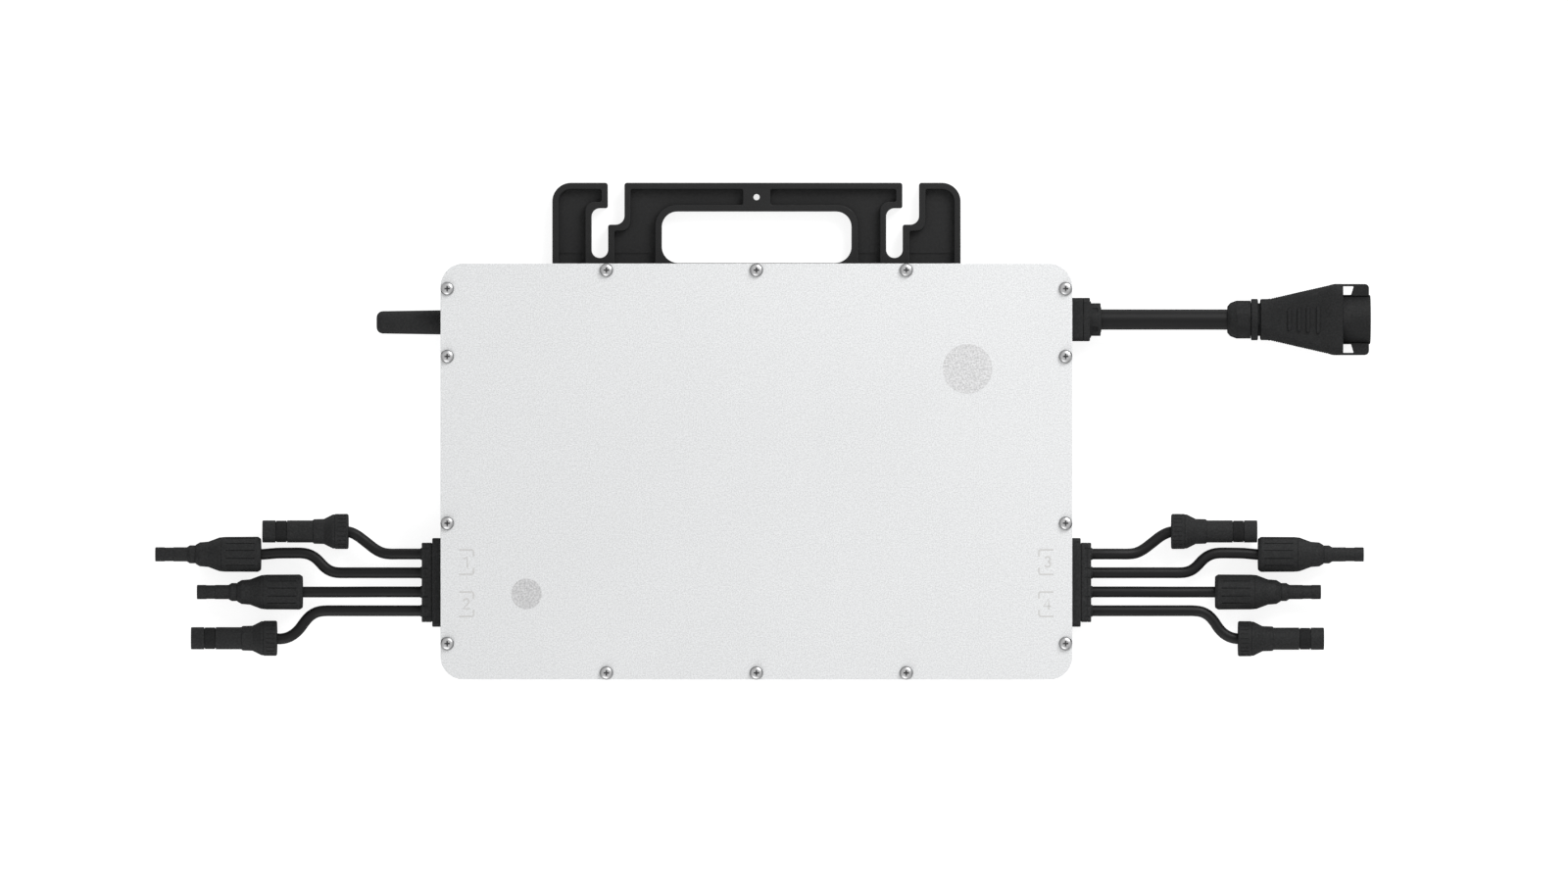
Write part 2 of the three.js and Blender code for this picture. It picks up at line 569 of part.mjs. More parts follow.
// Housing that flares from the neck to a shoulder, then a round barrel with a latch arm on each
// side. The flare's plan and side outlines are crossed.
function acConnectorBody() {
  const { shoulder, armEnd, armHalfDepth, barrelEnd, barrelRadius } = AC_CONNECTOR;
  const { mouthBottom, mouthRadius, halfWidth: armHalfWidth } = AC_CONNECTOR;
  const mirrored = (half) => [
    ...half.map(([x, width]) => new THREE.Vector2(x, width)),
    ...half.toReversed().map(([x, width]) => new THREE.Vector2(x, -width)),
  ];
  const flare = prism(mirrored(FLARE_PLAN), -20, 20)
    .intersect(prism(mirrored(FLARE_SIDE), -20, 20).rotate([90, 0, 0]));
  const ribs = GRIP_RIBS.map(({ x, length, height }) =>
    block([x - 0.9, -length / 2, -height], [x + 0.9, length / 2, height]));
  const collar = turned([
    [251.6, 0], [251.6, 7.6], [259.7, 7.6], [259.7, 10.85], [263.3, 10.85], [263.3, 8.6],
    [265, 8.6], [265, 0],
  ]);
  const barrel = rod(shoulder - 1, barrelEnd, barrelRadius, {}, SIDES);
  const arms = prism(
    mirrored([[shoulder - 1, armHalfWidth], [armEnd - 2.1, armHalfWidth], [armEnd, armHalfWidth - 2]]),
    -armHalfDepth,
    armHalfDepth,
  );
  const mouth = rod(mouthBottom, barrelEnd + 1, mouthRadius, {}, 16);
  const solids = [flare, ...ribs, collar, barrel, arms];
  return cut(union(solids), [mouth, latchWindow(1), latchWindow(-1)]).translate([0, AC_AXIS.y, AC_AXIS.z]);
}

// A window right through one side of the connector, with a slanted end.
function latchWindow(side) {
  const { start, innerEnd, outerEnd, inner, outer } = LATCH_WINDOW;
  const outline = [[start, inner], [innerEnd, inner], [outerEnd, outer], [start, outer]];
  return prism(outline.map(([x, y]) => new THREE.Vector2(x, side * y)), -20, 20);
}

// Contact carrier at the bottom of the connector's mouth, with its four pins.
function acContactInsert() {
  const { bottom, top, pinEnd, pinRadius, pinOffset } = AC_INSERT;
  const carrier = rod(bottom, top, AC_CONNECTOR.mouthRadius - GAP, AC_AXIS, 16);
  const signs = [[-1, 1], [1, 1], [-1, -1], [1, -1]];
  const pins = signs.map(([up, out]) => {
    const axis = { y: AC_AXIS.y + up * pinOffset, z: AC_AXIS.z + out * pinOffset };
    return rod(top - 1, pinEnd, pinRadius, axis, 8);
  });
  return union([carrier, ...pins]);
}

// ---- electronics -------------------------------------------------------------------------------

const boardSeat = BOARD.top + GAP;

function mainBoard() {
  const outline = roundedRectangle(BOARD.halfWidth, BOARD.halfHeight, 6, 0, 0, 2);
  return prism(outline, BOARD.bottom, BOARD.top);
}

// Planar transformer: a ferrite core with its winding standing out at both ends.
function powerTransformer(x) {
  const { y, coreHalfWidth, coreHalfHeight, windingHalfWidth, windingHalfHeight } = TRANSFORMER;
  const core = block(
    [x - coreHalfWidth, y - coreHalfHeight, boardSeat + 1],
    [x + coreHalfWidth, y + coreHalfHeight, boardSeat + 13],
  );
  const winding = roundedRectangle(windingHalfWidth, windingHalfHeight, 9, x, y);
  return core.add(prism(winding, boardSeat, boardSeat + 9));
}

// A wound toroid that lies flat on the board.
function acFilterChoke() {
  const { x, y, innerRadius, outerRadius, height } = CHOKE;
  const [top, edge] = [boardSeat + height, 2];
  const profile = [
    [boardSeat, innerRadius], [boardSeat, outerRadius - edge], [boardSeat + edge, outerRadius],
    [top - edge, outerRadius], [top, outerRadius - edge], [top, innerRadius], [boardSeat, innerRadius],
  ];
  return standing(profile, x, y);
}

function gridRelay() {
  const outline = roundedRectangle(RELAY.halfWidth, RELAY.halfHeight, 1, RELAY.x, RELAY.y, 2);
  return prism(outline, boardSeat, boardSeat + RELAY.height);
}

function busCapacitor() {
  const { start, end, y, radius } = CAPACITOR;
  return rod(start, end, radius, { y, z: boardSeat + radius }, 16);
}

// ---- put together ------------------------------------------------------------------------------

add('housing_base', housingBase(), SILVER);
add('front_cover', frontCover(), SILVER);
add('cover_gasket', coverGasket(), SEAL_GREY);
screwPlaces.forEach(([x, y], i) => add(`cover_screw_${i + 1}`, coverScrew(x, y), STEEL));

add('mounting_bracket', mountingBracket(), BLACK);
add('bracket_screw_left', bracketScrew(-1), STEEL);
add('bracket_screw_right', bracketScrew(1), STEEL);

add('antenna_stub', antennaStub(), BLACK);
add('dc_gland_left', dcGland(-1), BLACK);
add('dc_gland_right', dcGland(1), BLACK);
for (const connector of CONNECTORS) {
  const { name, kind } = connector;
  const male = kind === MALE;
  add(`${name}_lead`, lead(connector), CABLE_BLACK);
  add(`${name}_body`, male ? maleBody(connector) : femaleBody(connector), BLACK);
  add(`${name}_nut`, male ? maleNut(connector) : femaleNut(connector), BLACK);
}

add('ac_gland', acGland(), BLACK);
add('ac_cable', acCable(), CABLE_BLACK);
add('ac_cable_nut', acCableNut(), BLACK);
add('ac_connector_body', acConnectorBody(), BLACK);
add('ac_contact_insert', acContactInsert(), BLACK);

add('main_board', mainBoard(), BOARD_GREEN);
TRANSFORMERS_X.forEach((x, i) => add(`power_transformer_${i + 1}`, powerTransformer(x), FERRITE));
add('ac_filter_choke', acFilterChoke(), COPPER);
add('grid_relay', gridRelay(), BLACK);
add('bus_capacitor', busCapacitor(), BLACK);

export default inverter;
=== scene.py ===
"""Microinverter with four photovoltaic inputs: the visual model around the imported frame.

Metres, in the CAD's frame: the inverter lies on its back, +Z out of its front cover, +Y towards
its mounting bracket, +X towards its AC lead.
"""
import math

import bmesh
import bpy
from mathutils import Matrix, Vector


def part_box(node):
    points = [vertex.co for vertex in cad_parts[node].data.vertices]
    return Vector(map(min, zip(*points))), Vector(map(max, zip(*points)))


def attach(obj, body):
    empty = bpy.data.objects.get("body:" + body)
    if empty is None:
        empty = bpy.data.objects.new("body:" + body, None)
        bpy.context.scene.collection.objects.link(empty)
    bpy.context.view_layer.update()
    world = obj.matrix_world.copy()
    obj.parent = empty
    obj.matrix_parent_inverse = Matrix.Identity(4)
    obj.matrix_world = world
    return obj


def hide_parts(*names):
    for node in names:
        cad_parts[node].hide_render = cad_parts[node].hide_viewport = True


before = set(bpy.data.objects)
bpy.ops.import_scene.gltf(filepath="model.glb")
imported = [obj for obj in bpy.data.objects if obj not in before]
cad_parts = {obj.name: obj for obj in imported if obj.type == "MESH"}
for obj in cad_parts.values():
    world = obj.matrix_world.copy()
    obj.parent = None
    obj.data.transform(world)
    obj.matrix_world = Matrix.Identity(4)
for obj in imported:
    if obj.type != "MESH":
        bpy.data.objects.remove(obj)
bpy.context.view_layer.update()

ROOT = "inverter"
MM = 0.001
TURN = 2 * math.pi
scene = bpy.context.scene


# ---- places taken from the frame -----------------------------------------------------------------

def middle(node):
    low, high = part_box(node)
    return (Vector(low) + Vector(high)) / 2


COVER_LOW, COVER_HIGH = (Vector(corner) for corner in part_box("front_cover"))
COVER_TOP = COVER_HIGH.z
CASE_HALF_X, CASE_HALF_Y = COVER_HIGH.x, COVER_HIGH.y
CASE_CORNER = 12 * MM
FLANGE_OVERHANG = 7 * MM
FLANGE_BOTTOM = 27 * MM
WALL_X = CASE_HALF_X - FLANGE_OVERHANG
WALL_Y = CASE_HALF_Y - FLANGE_OVERHANG
FLOOR_BOTTOM = 8 * MM
FIN_COUNT = 23
FIN_THICKNESS = 3.2 * MM
SCREWS = [f"cover_screw_{i + 1}" for i in range(14)]
SCREW_HOLE_RADIUS = 2.1 * MM
AC_AXIS = middle("ac_cable")
MALES = ["pv1_male", "pv2_male", "pv3_male", "pv4_male"]
FEMALES = ["pv1_female", "pv2_female", "pv3_female", "pv4_female"]
LEAD_DIAMETER = 5.7 * MM
AC_DIAMETER = 10.7 * MM


# ---- camera --------------------------------------------------------------------------------------

def make_camera():
    """Looks straight down at the cover through a long lens, with the bracket at the top."""
    shown_width = 0.8221
    camera = bpy.data.cameras.new("camera")
    camera.lens, camera.sensor_width = 500, 36
    camera.clip_end = 60
    holder = bpy.data.objects.new("camera", camera)
    scene.collection.objects.link(holder)
    distance = shown_width * camera.lens / camera.sensor_width
    holder.location = (0.01446, 0.01601, COVER_TOP - 8 * MM + distance)
    scene.camera = holder


make_camera()


# ---- mesh tools ----------------------------------------------------------------------------------

def smooth_by_angle(mesh, degrees=32):
    """Shades faces smooth, apart from edges that bend more than the given angle."""
    bm = bmesh.new()
    bm.from_mesh(mesh)
    for face in bm.faces:
        face.smooth = True
    limit = math.radians(degrees)
    for edge in bm.edges:
        edge.smooth = len(edge.link_faces) == 2 and edge.calc_face_angle(0) < limit
    bm.to_mesh(mesh)
    bm.free()


def face_weighted(mesh):
    """Normals that follow each large face rather than the thin roundings beside it."""
    holder = bpy.data.objects.new("weighted", mesh)
    scene.collection.objects.link(holder)
    modifier = holder.modifiers.new("weighted", "WEIGHTED_NORMAL")
    modifier.keep_sharp = True
    seen = holder.evaluated_get(bpy.context.evaluated_depsgraph_get())
    result = bpy.data.meshes.new_from_object(seen)
    bpy.data.objects.remove(holder)
    return result


def welded(mesh, distance=1e-7):
    bm = bmesh.new()
    bm.from_mesh(mesh)
    bmesh.ops.remove_doubles(bm, verts=bm.verts, dist=distance)
    bmesh.ops.recalc_face_normals(bm, faces=bm.faces)
    bm.to_mesh(mesh)
    bm.free()
    return mesh


def mesh_from(vertices, faces, name="mesh"):
    mesh = bpy.data.meshes.new(name)
    mesh.from_pydata(vertices, [], faces)
    return welded(mesh)


def placed(mesh, matrix):
    mesh = mesh.copy()
    mesh.transform(matrix)
    if matrix.determinant() < 0:
        mesh.flip_normals()
    return mesh


def at(x=0.0, y=0.0, z=0.0):
    return Matrix.Translation((x, y, z))


def joined(meshes):
    """Several meshes as one, each keeping its own closed surface."""
    bm = bmesh.new()
    for mesh in meshes:
        bm.from_mesh(mesh)
    out = bpy.data.meshes.new("joined")
    bm.to_mesh(out)
    bm.free()
    return out


def boolean(mesh, tool, operation):
    """The union, difference or intersection of two closed meshes."""
    holders = [bpy.data.objects.new("boolean", m) for m in (mesh, tool)]
    for holder in holders:
        scene.collection.objects.link(holder)
    modifier = holders[0].modifiers.new("boolean", "BOOLEAN")
    modifier.operation, modifier.solver, modifier.object = operation, "MANIFOLD", holders[1]
    seen = holders[0].evaluated_get(bpy.context.evaluated_depsgraph_get())
    result = bpy.data.meshes.new_from_object(seen)
    for holder in holders:
        bpy.data.objects.remove(holder)
    if not result.polygons:
        raise RuntimeError(f"a {operation.lower()} left nothing")
    return result


def union(meshes):
    result = meshes[0]
    for mesh in meshes[1:]:
        result = boolean(result, mesh, "UNION")
    return result


def cut(mesh, tools):
    for tool in tools:
        mesh = boolean(mesh, tool, "DIFFERENCE")
    return mesh


def filleted(corners, steps=10):
    """Points round an outline whose corners (x, y, radius) are rounded, in the corners' own units."""
    points = []
    for i, (x, y, *radius) in enumerate(corners):
        corner = Vector((x, y))
        if not radius or not radius[0]:
            points.append(corner)
            continue
        before = (Vector(corners[i - 1][:2]) - corner).normalized()
        after = (Vector(corners[(i + 1) % len(corners)][:2]) - corner).normalized()
        half = before.angle(after) / 2
        centre = corner + (before + after).normalized() * radius[0] / math.sin(half)
        first = corner + before * radius[0] / math.tan(half) - centre
        last = corner + after * radius[0] / math.tan(half) - centre
        turn = math.atan2(first.x * last.y - first.y * last.x, first.dot(last))
        for step in range(steps + 1):
            points.append(Matrix.Rotation(turn * step / steps, 2) @ first + centre)
    return points


def rounded_rectangle(half_x, half_y, radius, x=0.0, y=0.0, steps=14):
    left, right, low, high = x - half_x, x + half_x, y - half_y, y + half_y
    corners = [(left, low, radius), (right, low, radius), (right, high, radius), (left, high, radius)]
    return filleted(corners, steps)


def circle(x, y, radius, count):
    angles = (TURN * i / count for i in range(count))
    return [Vector((x, y)) + radius * Vector((math.cos(a), math.sin(a))) for a in angles]


def plate(outlines, bottom, top, edge=0.0, steps=3):
    """A plate with holes: the first outline is its edge, the others its holes, and every edge on
    its two faces has a small rounding."""
    curve = bpy.data.curves.new("plate", "CURVE")
    curve.dimensions, curve.fill_mode = "2D", "BOTH"
    for outline in outlines:
        spline = curve.splines.new("POLY")
        spline.points.add(len(outline) - 1)
        for point, (x, y) in zip(spline.points, outline):
            point.co = (x, y, 0, 1)
        spline.use_cyclic_u = True
    curve.extrude = (top - bottom) / 2 - edge
    curve.bevel_depth, curve.bevel_resolution, curve.offset = edge, steps, -edge
    holder = bpy.data.objects.new("plate", curve)
    mesh = welded(bpy.data.meshes.new_from_object(holder))
    bpy.data.objects.remove(holder)
    bpy.data.curves.remove(curve)
    mesh.transform(at(z=(top + bottom) / 2))
    return mesh


def block(low, high, edge=0.0):
    """A box between two corners, with rounded edges if asked."""
    bm = bmesh.new()
    bmesh.ops.create_cube(bm, size=1)
    size = Vector(high) - Vector(low)
    centre = (Vector(high) + Vector(low)) / 2
    bmesh.ops.transform(bm, matrix=at(*centre) @ Matrix.Diagonal((*size, 1)), verts=bm.verts)
    if edge:
        bmesh.ops.bevel(bm, geom=bm.edges, offset=edge, segments=3, profile=0.5, affect="EDGES")
    mesh = bpy.data.meshes.new("block")
    bm.to_mesh(mesh)
    bm.free()
    return mesh


def turned(profile, sides=72, steps=6):
    """A closed profile of (x, radius, corner radius) turned round the X axis, in millimetres."""
    points = filleted(profile, steps)
    vertices, faces = [], []
    for i in range(sides):
        angle = TURN * i / sides
        for x, radius in points:
            vertices.append((x * MM, radius * math.cos(angle) * MM, radius * math.sin(angle) * MM))
    count = len(points)
    for i in range(sides):
        here, there = i * count, ((i + 1) % sides) * count
        for j in range(count):
            k = (j + 1) % count
            if points[j].y > 1e-6 or points[k].y > 1e-6:
                faces.append((here + j, here + k, there + k, there + j))
    mesh = bpy.data.meshes.new("turned")
    mesh.from_pydata(vertices, [], faces)
    bm = bmesh.new()
    bm.from_mesh(mesh)
    bmesh.ops.remove_doubles(bm, verts=bm.verts, dist=1e-8)
    bmesh.ops.dissolve_degenerate(bm, edges=bm.edges, dist=1e-8)
    bmesh.ops.recalc_face_normals(bm, faces=bm.faces)
    bm.to_mesh(mesh)
    bm.free()
    return mesh


TO_STANDING = Matrix.Rotation(-math.pi / 2, 4, "Y")  # the X axis turned up to +Z


def rod(start, end, radius, sides=48):
    return turned([(start, 0), (start, radius), (end, radius), (end, 0)], sides)


def piece(name, mesh, material, body=ROOT, replaces=(), angle=32):
    """A finished piece of the visual model."""
    smooth_by_angle(mesh, angle)
    mesh = face_weighted(mesh)
    mesh.name = name
    mesh.materials.clear()
    mesh.materials.append(material)
    holder = bpy.data.objects.new(name, mesh)
    scene.collection.objects.link(holder)
    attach(holder, body)
    if replaces:
        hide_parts(*replaces)
    return holder


# ---- materials -----------------------------------------------------------------------------------

def set_range(node, start, end, low, high):
    """Makes a Map Range node turn start to end into low to high."""
    limits = {"From Min": start, "From Max": end, "To Min": low, "To Max": high}
    for socket, number in limits.items():
        node.inputs[socket].default_value = number


class Surface:
    """A Principled material with noise that varies its colour, gloss and height."""

    def __init__(self, name, colour, roughness, metallic=0.0, specular=0.5, coat=0.0):
        self.material = bpy.data.materials.new(name)
        self.material.use_nodes = True
        self.tree = self.material.node_tree
        self.shader = self.tree.nodes["Principled BSDF"]
        self.colour, self.roughness = colour, roughness
        self.shader.inputs["Base Color"].default_value = (*colour, 1)
        self.shader.inputs["Roughness"].default_value = roughness
        self.shader.inputs["Metallic"].default_value = metallic
        self.shader.inputs["Specular IOR Level"].default_value = specular
        self.shader.inputs["Coat Weight"].default_value = coat
        self.place = self.tree.nodes.new("ShaderNodeTexCoord").outputs["Object"]
        self.factor = None
        self.normal = None

    def link(self, output, target):
        self.tree.links.new(output, target)

    def noise(self, scale, detail=2.0, stretch=(1, 1, 1), rough=0.5):
        mapping = self.tree.nodes.new("ShaderNodeMapping")
        mapping.inputs["Scale"].default_value = stretch
        self.link(self.place, mapping.inputs["Vector"])
        texture = self.tree.nodes.new("ShaderNodeTexNoise")
        texture.inputs["Scale"].default_value = scale
        texture.inputs["Detail"].default_value = detail
        texture.inputs["Roughness"].default_value = rough
        self.link(mapping.outputs["Vector"], texture.inputs["Vector"])
        return texture.outputs["Fac"]

    def spread(self, value, low, high, start=0.3, end=0.7):
        """A noise value stretched to run from low to high."""
        node = self.tree.nodes.new("ShaderNodeMapRange")
        set_range(node, start, end, low, high)
        self.link(value, node.inputs["Value"])
        return node.outputs["Result"]

    def tint(self, factor):
        """Multiplies the base colour by a factor, on top of any earlier one."""
        if self.factor:
            node = self.tree.nodes.new("ShaderNodeMath")
            node.operation = "MULTIPLY"
            self.link(self.factor, node.inputs[0])
            self.link(factor, node.inputs[1])
            factor = node.outputs["Value"]
        self.factor = factor
        scale = self.tree.nodes.new("ShaderNodeVectorMath")
        scale.operation = "SCALE"
        scale.inputs[0].default_value = self.colour
        self.link(factor, scale.inputs["Scale"])
        self.link(scale.outputs["Vector"], self.shader.inputs["Base Color"])
        return self

    def mottle(self, *layers):
        """Layers of (noise, amount) that lighten and darken the base colour."""
        for value, amount in layers:
            self.tint(self.spread(value, 1 - amount, 1 + amount))
        return self

    def painted_dark_reflection(self, least, start, end):
        """Darkens the base colour of what is seen at a slant: a painted reflection of the dark end of a
        room, which polished metal mirrors.
        """
        node = self.tree.nodes.new("ShaderNodeLayerWeight")
        node.inputs["Blend"].default_value = 0.5
        return self.tint(self.spread(node.outputs["Facing"], 1, least, start, end))

    def dull_sides(self, specular, least, start=0.25, end=0.75):
        """Weakens reflections in what is seen at a slant, as on a matt skin."""
        node = self.tree.nodes.new("ShaderNodeLayerWeight")
        node.inputs["Blend"].default_value = 0.5
        self.link(self.spread(node.outputs["Facing"], specular, least, start, end),
                  self.shader.inputs["Specular IOR Level"])
        return self

    def gloss(self, value, amount):
        self.link(self.spread(value, self.roughness - amount, self.roughness + amount),
                  self.shader.inputs["Roughness"])
        return self

    def bump(self, value, height, strength=1.0):
        """Relief of a height in metres, added to any relief that is already there."""
        node = self.tree.nodes.new("ShaderNodeBump")
        node.inputs["Strength"].default_value = strength
        node.inputs["Distance"].default_value = height
        self.link(value, node.inputs["Height"])
        if self.normal:
            self.link(self.normal, node.inputs["Normal"])
        self.normal = node.outputs["Normal"]
        self.link(self.normal, self.shader.inputs["Normal"])
        return self


def blasted_aluminium():
    s = Surface("blasted_aluminium", (0.792, 0.8, 0.806), 0.55, metallic=0.35)
    grain = s.noise(1500, 1.5)
    s.mottle((grain, 0.13), (s.noise(2600, 1), 0.07), (s.noise(9, 3), 0.012))
    s.gloss(s.noise(1400, 2), 0.06)
    return s.bump(grain, 0.00003, 0.4).material


def cast_aluminium():
    s = Surface("cast_aluminium", (0.5, 0.51, 0.525), 0.5, metallic=0.8)
    skin = s.noise(900, 4, rough=0.6)
    s.mottle((skin, 0.06), (s.noise(40, 3), 0.05))
    s.gloss(s.noise(300, 3), 0.08)
    return s.bump(skin, 0.00006, 0.6).material


def stainless():
    s = Surface("stainless", (0.62, 0.62, 0.625), 0.34, metallic=1.0)
    marks = s.noise(900, 3, stretch=(1, 1, 6))
    s.mottle((s.noise(500, 2), 0.06))
    # Painted reflection: the base colour darkens on slanting faces, such as the rims of the screw
    # heads.
    s.painted_dark_reflection(0.45, 0.15, 0.5)
    s.gloss(marks, 0.06)
    return s.bump(marks, 0.000008, 0.5).material


# A dull grey for the faces of the screws' cross recess: painted shade where the steel lies deep in the
# recess.
def painted_recess_shade():
    s = Surface("painted_recess_shade", (0.26, 0.26, 0.264), 0.6, metallic=0.2)
    return s.mottle((s.noise(1500, 2), 0.2)).material


def powder_coat():
    s = Surface("powder_coat", (0.0056, 0.0057, 0.006), 0.55, specular=0.4)
    grain = s.noise(1500, 2)
    s.mottle((grain, 0.45), (s.noise(120, 3), 0.08))
    s.gloss(s.noise(600, 2), 0.07)
    return s.bump(grain, 0.00005, 0.6).material


def moulded_plastic(name="moulded_plastic", colour=(0.021, 0.0214, 0.0218), roughness=0.65):
    s = Surface(name, colour, roughness)
    s.dull_sides(0.15, 0)
    grain = s.noise(2300, 2)
    s.mottle((grain, 0.28), (s.noise(1000, 2), 0.24), (s.noise(160, 3), 0.05))
    s.gloss(s.noise(800, 2), 0.06)
    return s.bump(grain, 0.00003, 0.5).material


def cable_jacket():
    s = Surface("cable_jacket", (0.0055, 0.0055, 0.0058), 0.48)
    s.dull_sides(0.26, 0)
    drawn = s.noise(260, 3, stretch=(0.08, 3, 3))
    s.mottle((drawn, 0.12))
    s.gloss(drawn, 0.05)
    return s.bump(drawn, 0.00002, 0.4).material


def grey_label(name, colour):
    """Paper grey with the cover's grain showing through."""
    s = Surface(name, colour, 0.6, specular=0.3)
    s.mottle((s.noise(1150, 1.5), 0.22), (s.noise(2600, 1.5), 0.08), (s.noise(500, 2), 0.02))
    return s.gloss(s.noise(1200, 2), 0.05).material


def printed_mark():
    s = Surface("printed_mark", (0.62, 0.617, 0.61), 0.65, specular=0.3)
    s.mottle((s.noise(2200, 2), 0.1))
    return s.gloss(s.noise(900, 2), 0.05).material


def seal_rubber():
    s = Surface("seal_rubber_finish", (0.02, 0.02, 0.021), 0.8, specular=0.3)
    grain = s.noise(1200, 3)
    s.mottle((grain, 0.2))
    return s.bump(grain, 0.00004, 0.5).material


def tinned_contact():
    s = Surface("tinned_contact", (0.78, 0.77, 0.74), 0.25, metallic=1.0)
    lines = s.noise(500, 3, stretch=(6, 1, 1))
    s.mottle((lines, 0.08))
    s.gloss(lines, 0.08)
    return s.bump(lines, 0.00001, 0.5).material


def solder_mask():
    s = Surface("solder_mask", (0.012, 0.09, 0.045), 0.35, coat=0.3)
    s.mottle((s.noise(300, 3), 0.25))
    s.gloss(s.noise(700, 2), 0.08)
    return s.bump(s.noise(200, 1, stretch=(1, 6, 1)), 0.00003, 0.5).material


def ferrite():
    s = Surface("ferrite_finish", (0.03, 0.028, 0.027), 0.6, metallic=0.2)
    grain = s.noise(1500, 4)
    s.mottle((grain, 0.3))
    return s.bump(grain, 0.00003, 0.5).material


def enamelled_copper():
    s = Surface("enamelled_copper", (0.5, 0.19, 0.07), 0.3, metallic=0.9)
    turns = s.noise(350, 1, stretch=(1, 1, 0.1))
    s.mottle((turns, 0.2))
    return s.bump(turns, 0.0002, 0.8).material


COVER_FINISH = blasted_aluminium()
TRAY_FINISH = cast_aluminium()
STEEL = stainless()
POWDER_BLACK = powder_coat()
PLASTIC = moulded_plastic()
# The glands' plastic is the moulded plastic made lighter: painted light that offsets the shade from the
# case and neighbouring parts.
LIGHTENED_GLAND_PLASTIC = moulded_plastic("gland_plastic_painted_light", (0.028, 0.0285, 0.029), 0.7)
AC_PLASTIC = moulded_plastic("ac_plastic", (0.016, 0.0163, 0.0166))
JACKET = cable_jacket()
LARGE_DISC_GREY = grey_label("printed_grey", (0.65, 0.65, 0.655))
SMALL_DISC_GREY = grey_label("small_disc_grey", (0.585, 0.585, 0.59))
MARK_INK = printed_mark()
CONTACT = tinned_contact()


# ---- cords ---------------------------------------------------------------------------------------

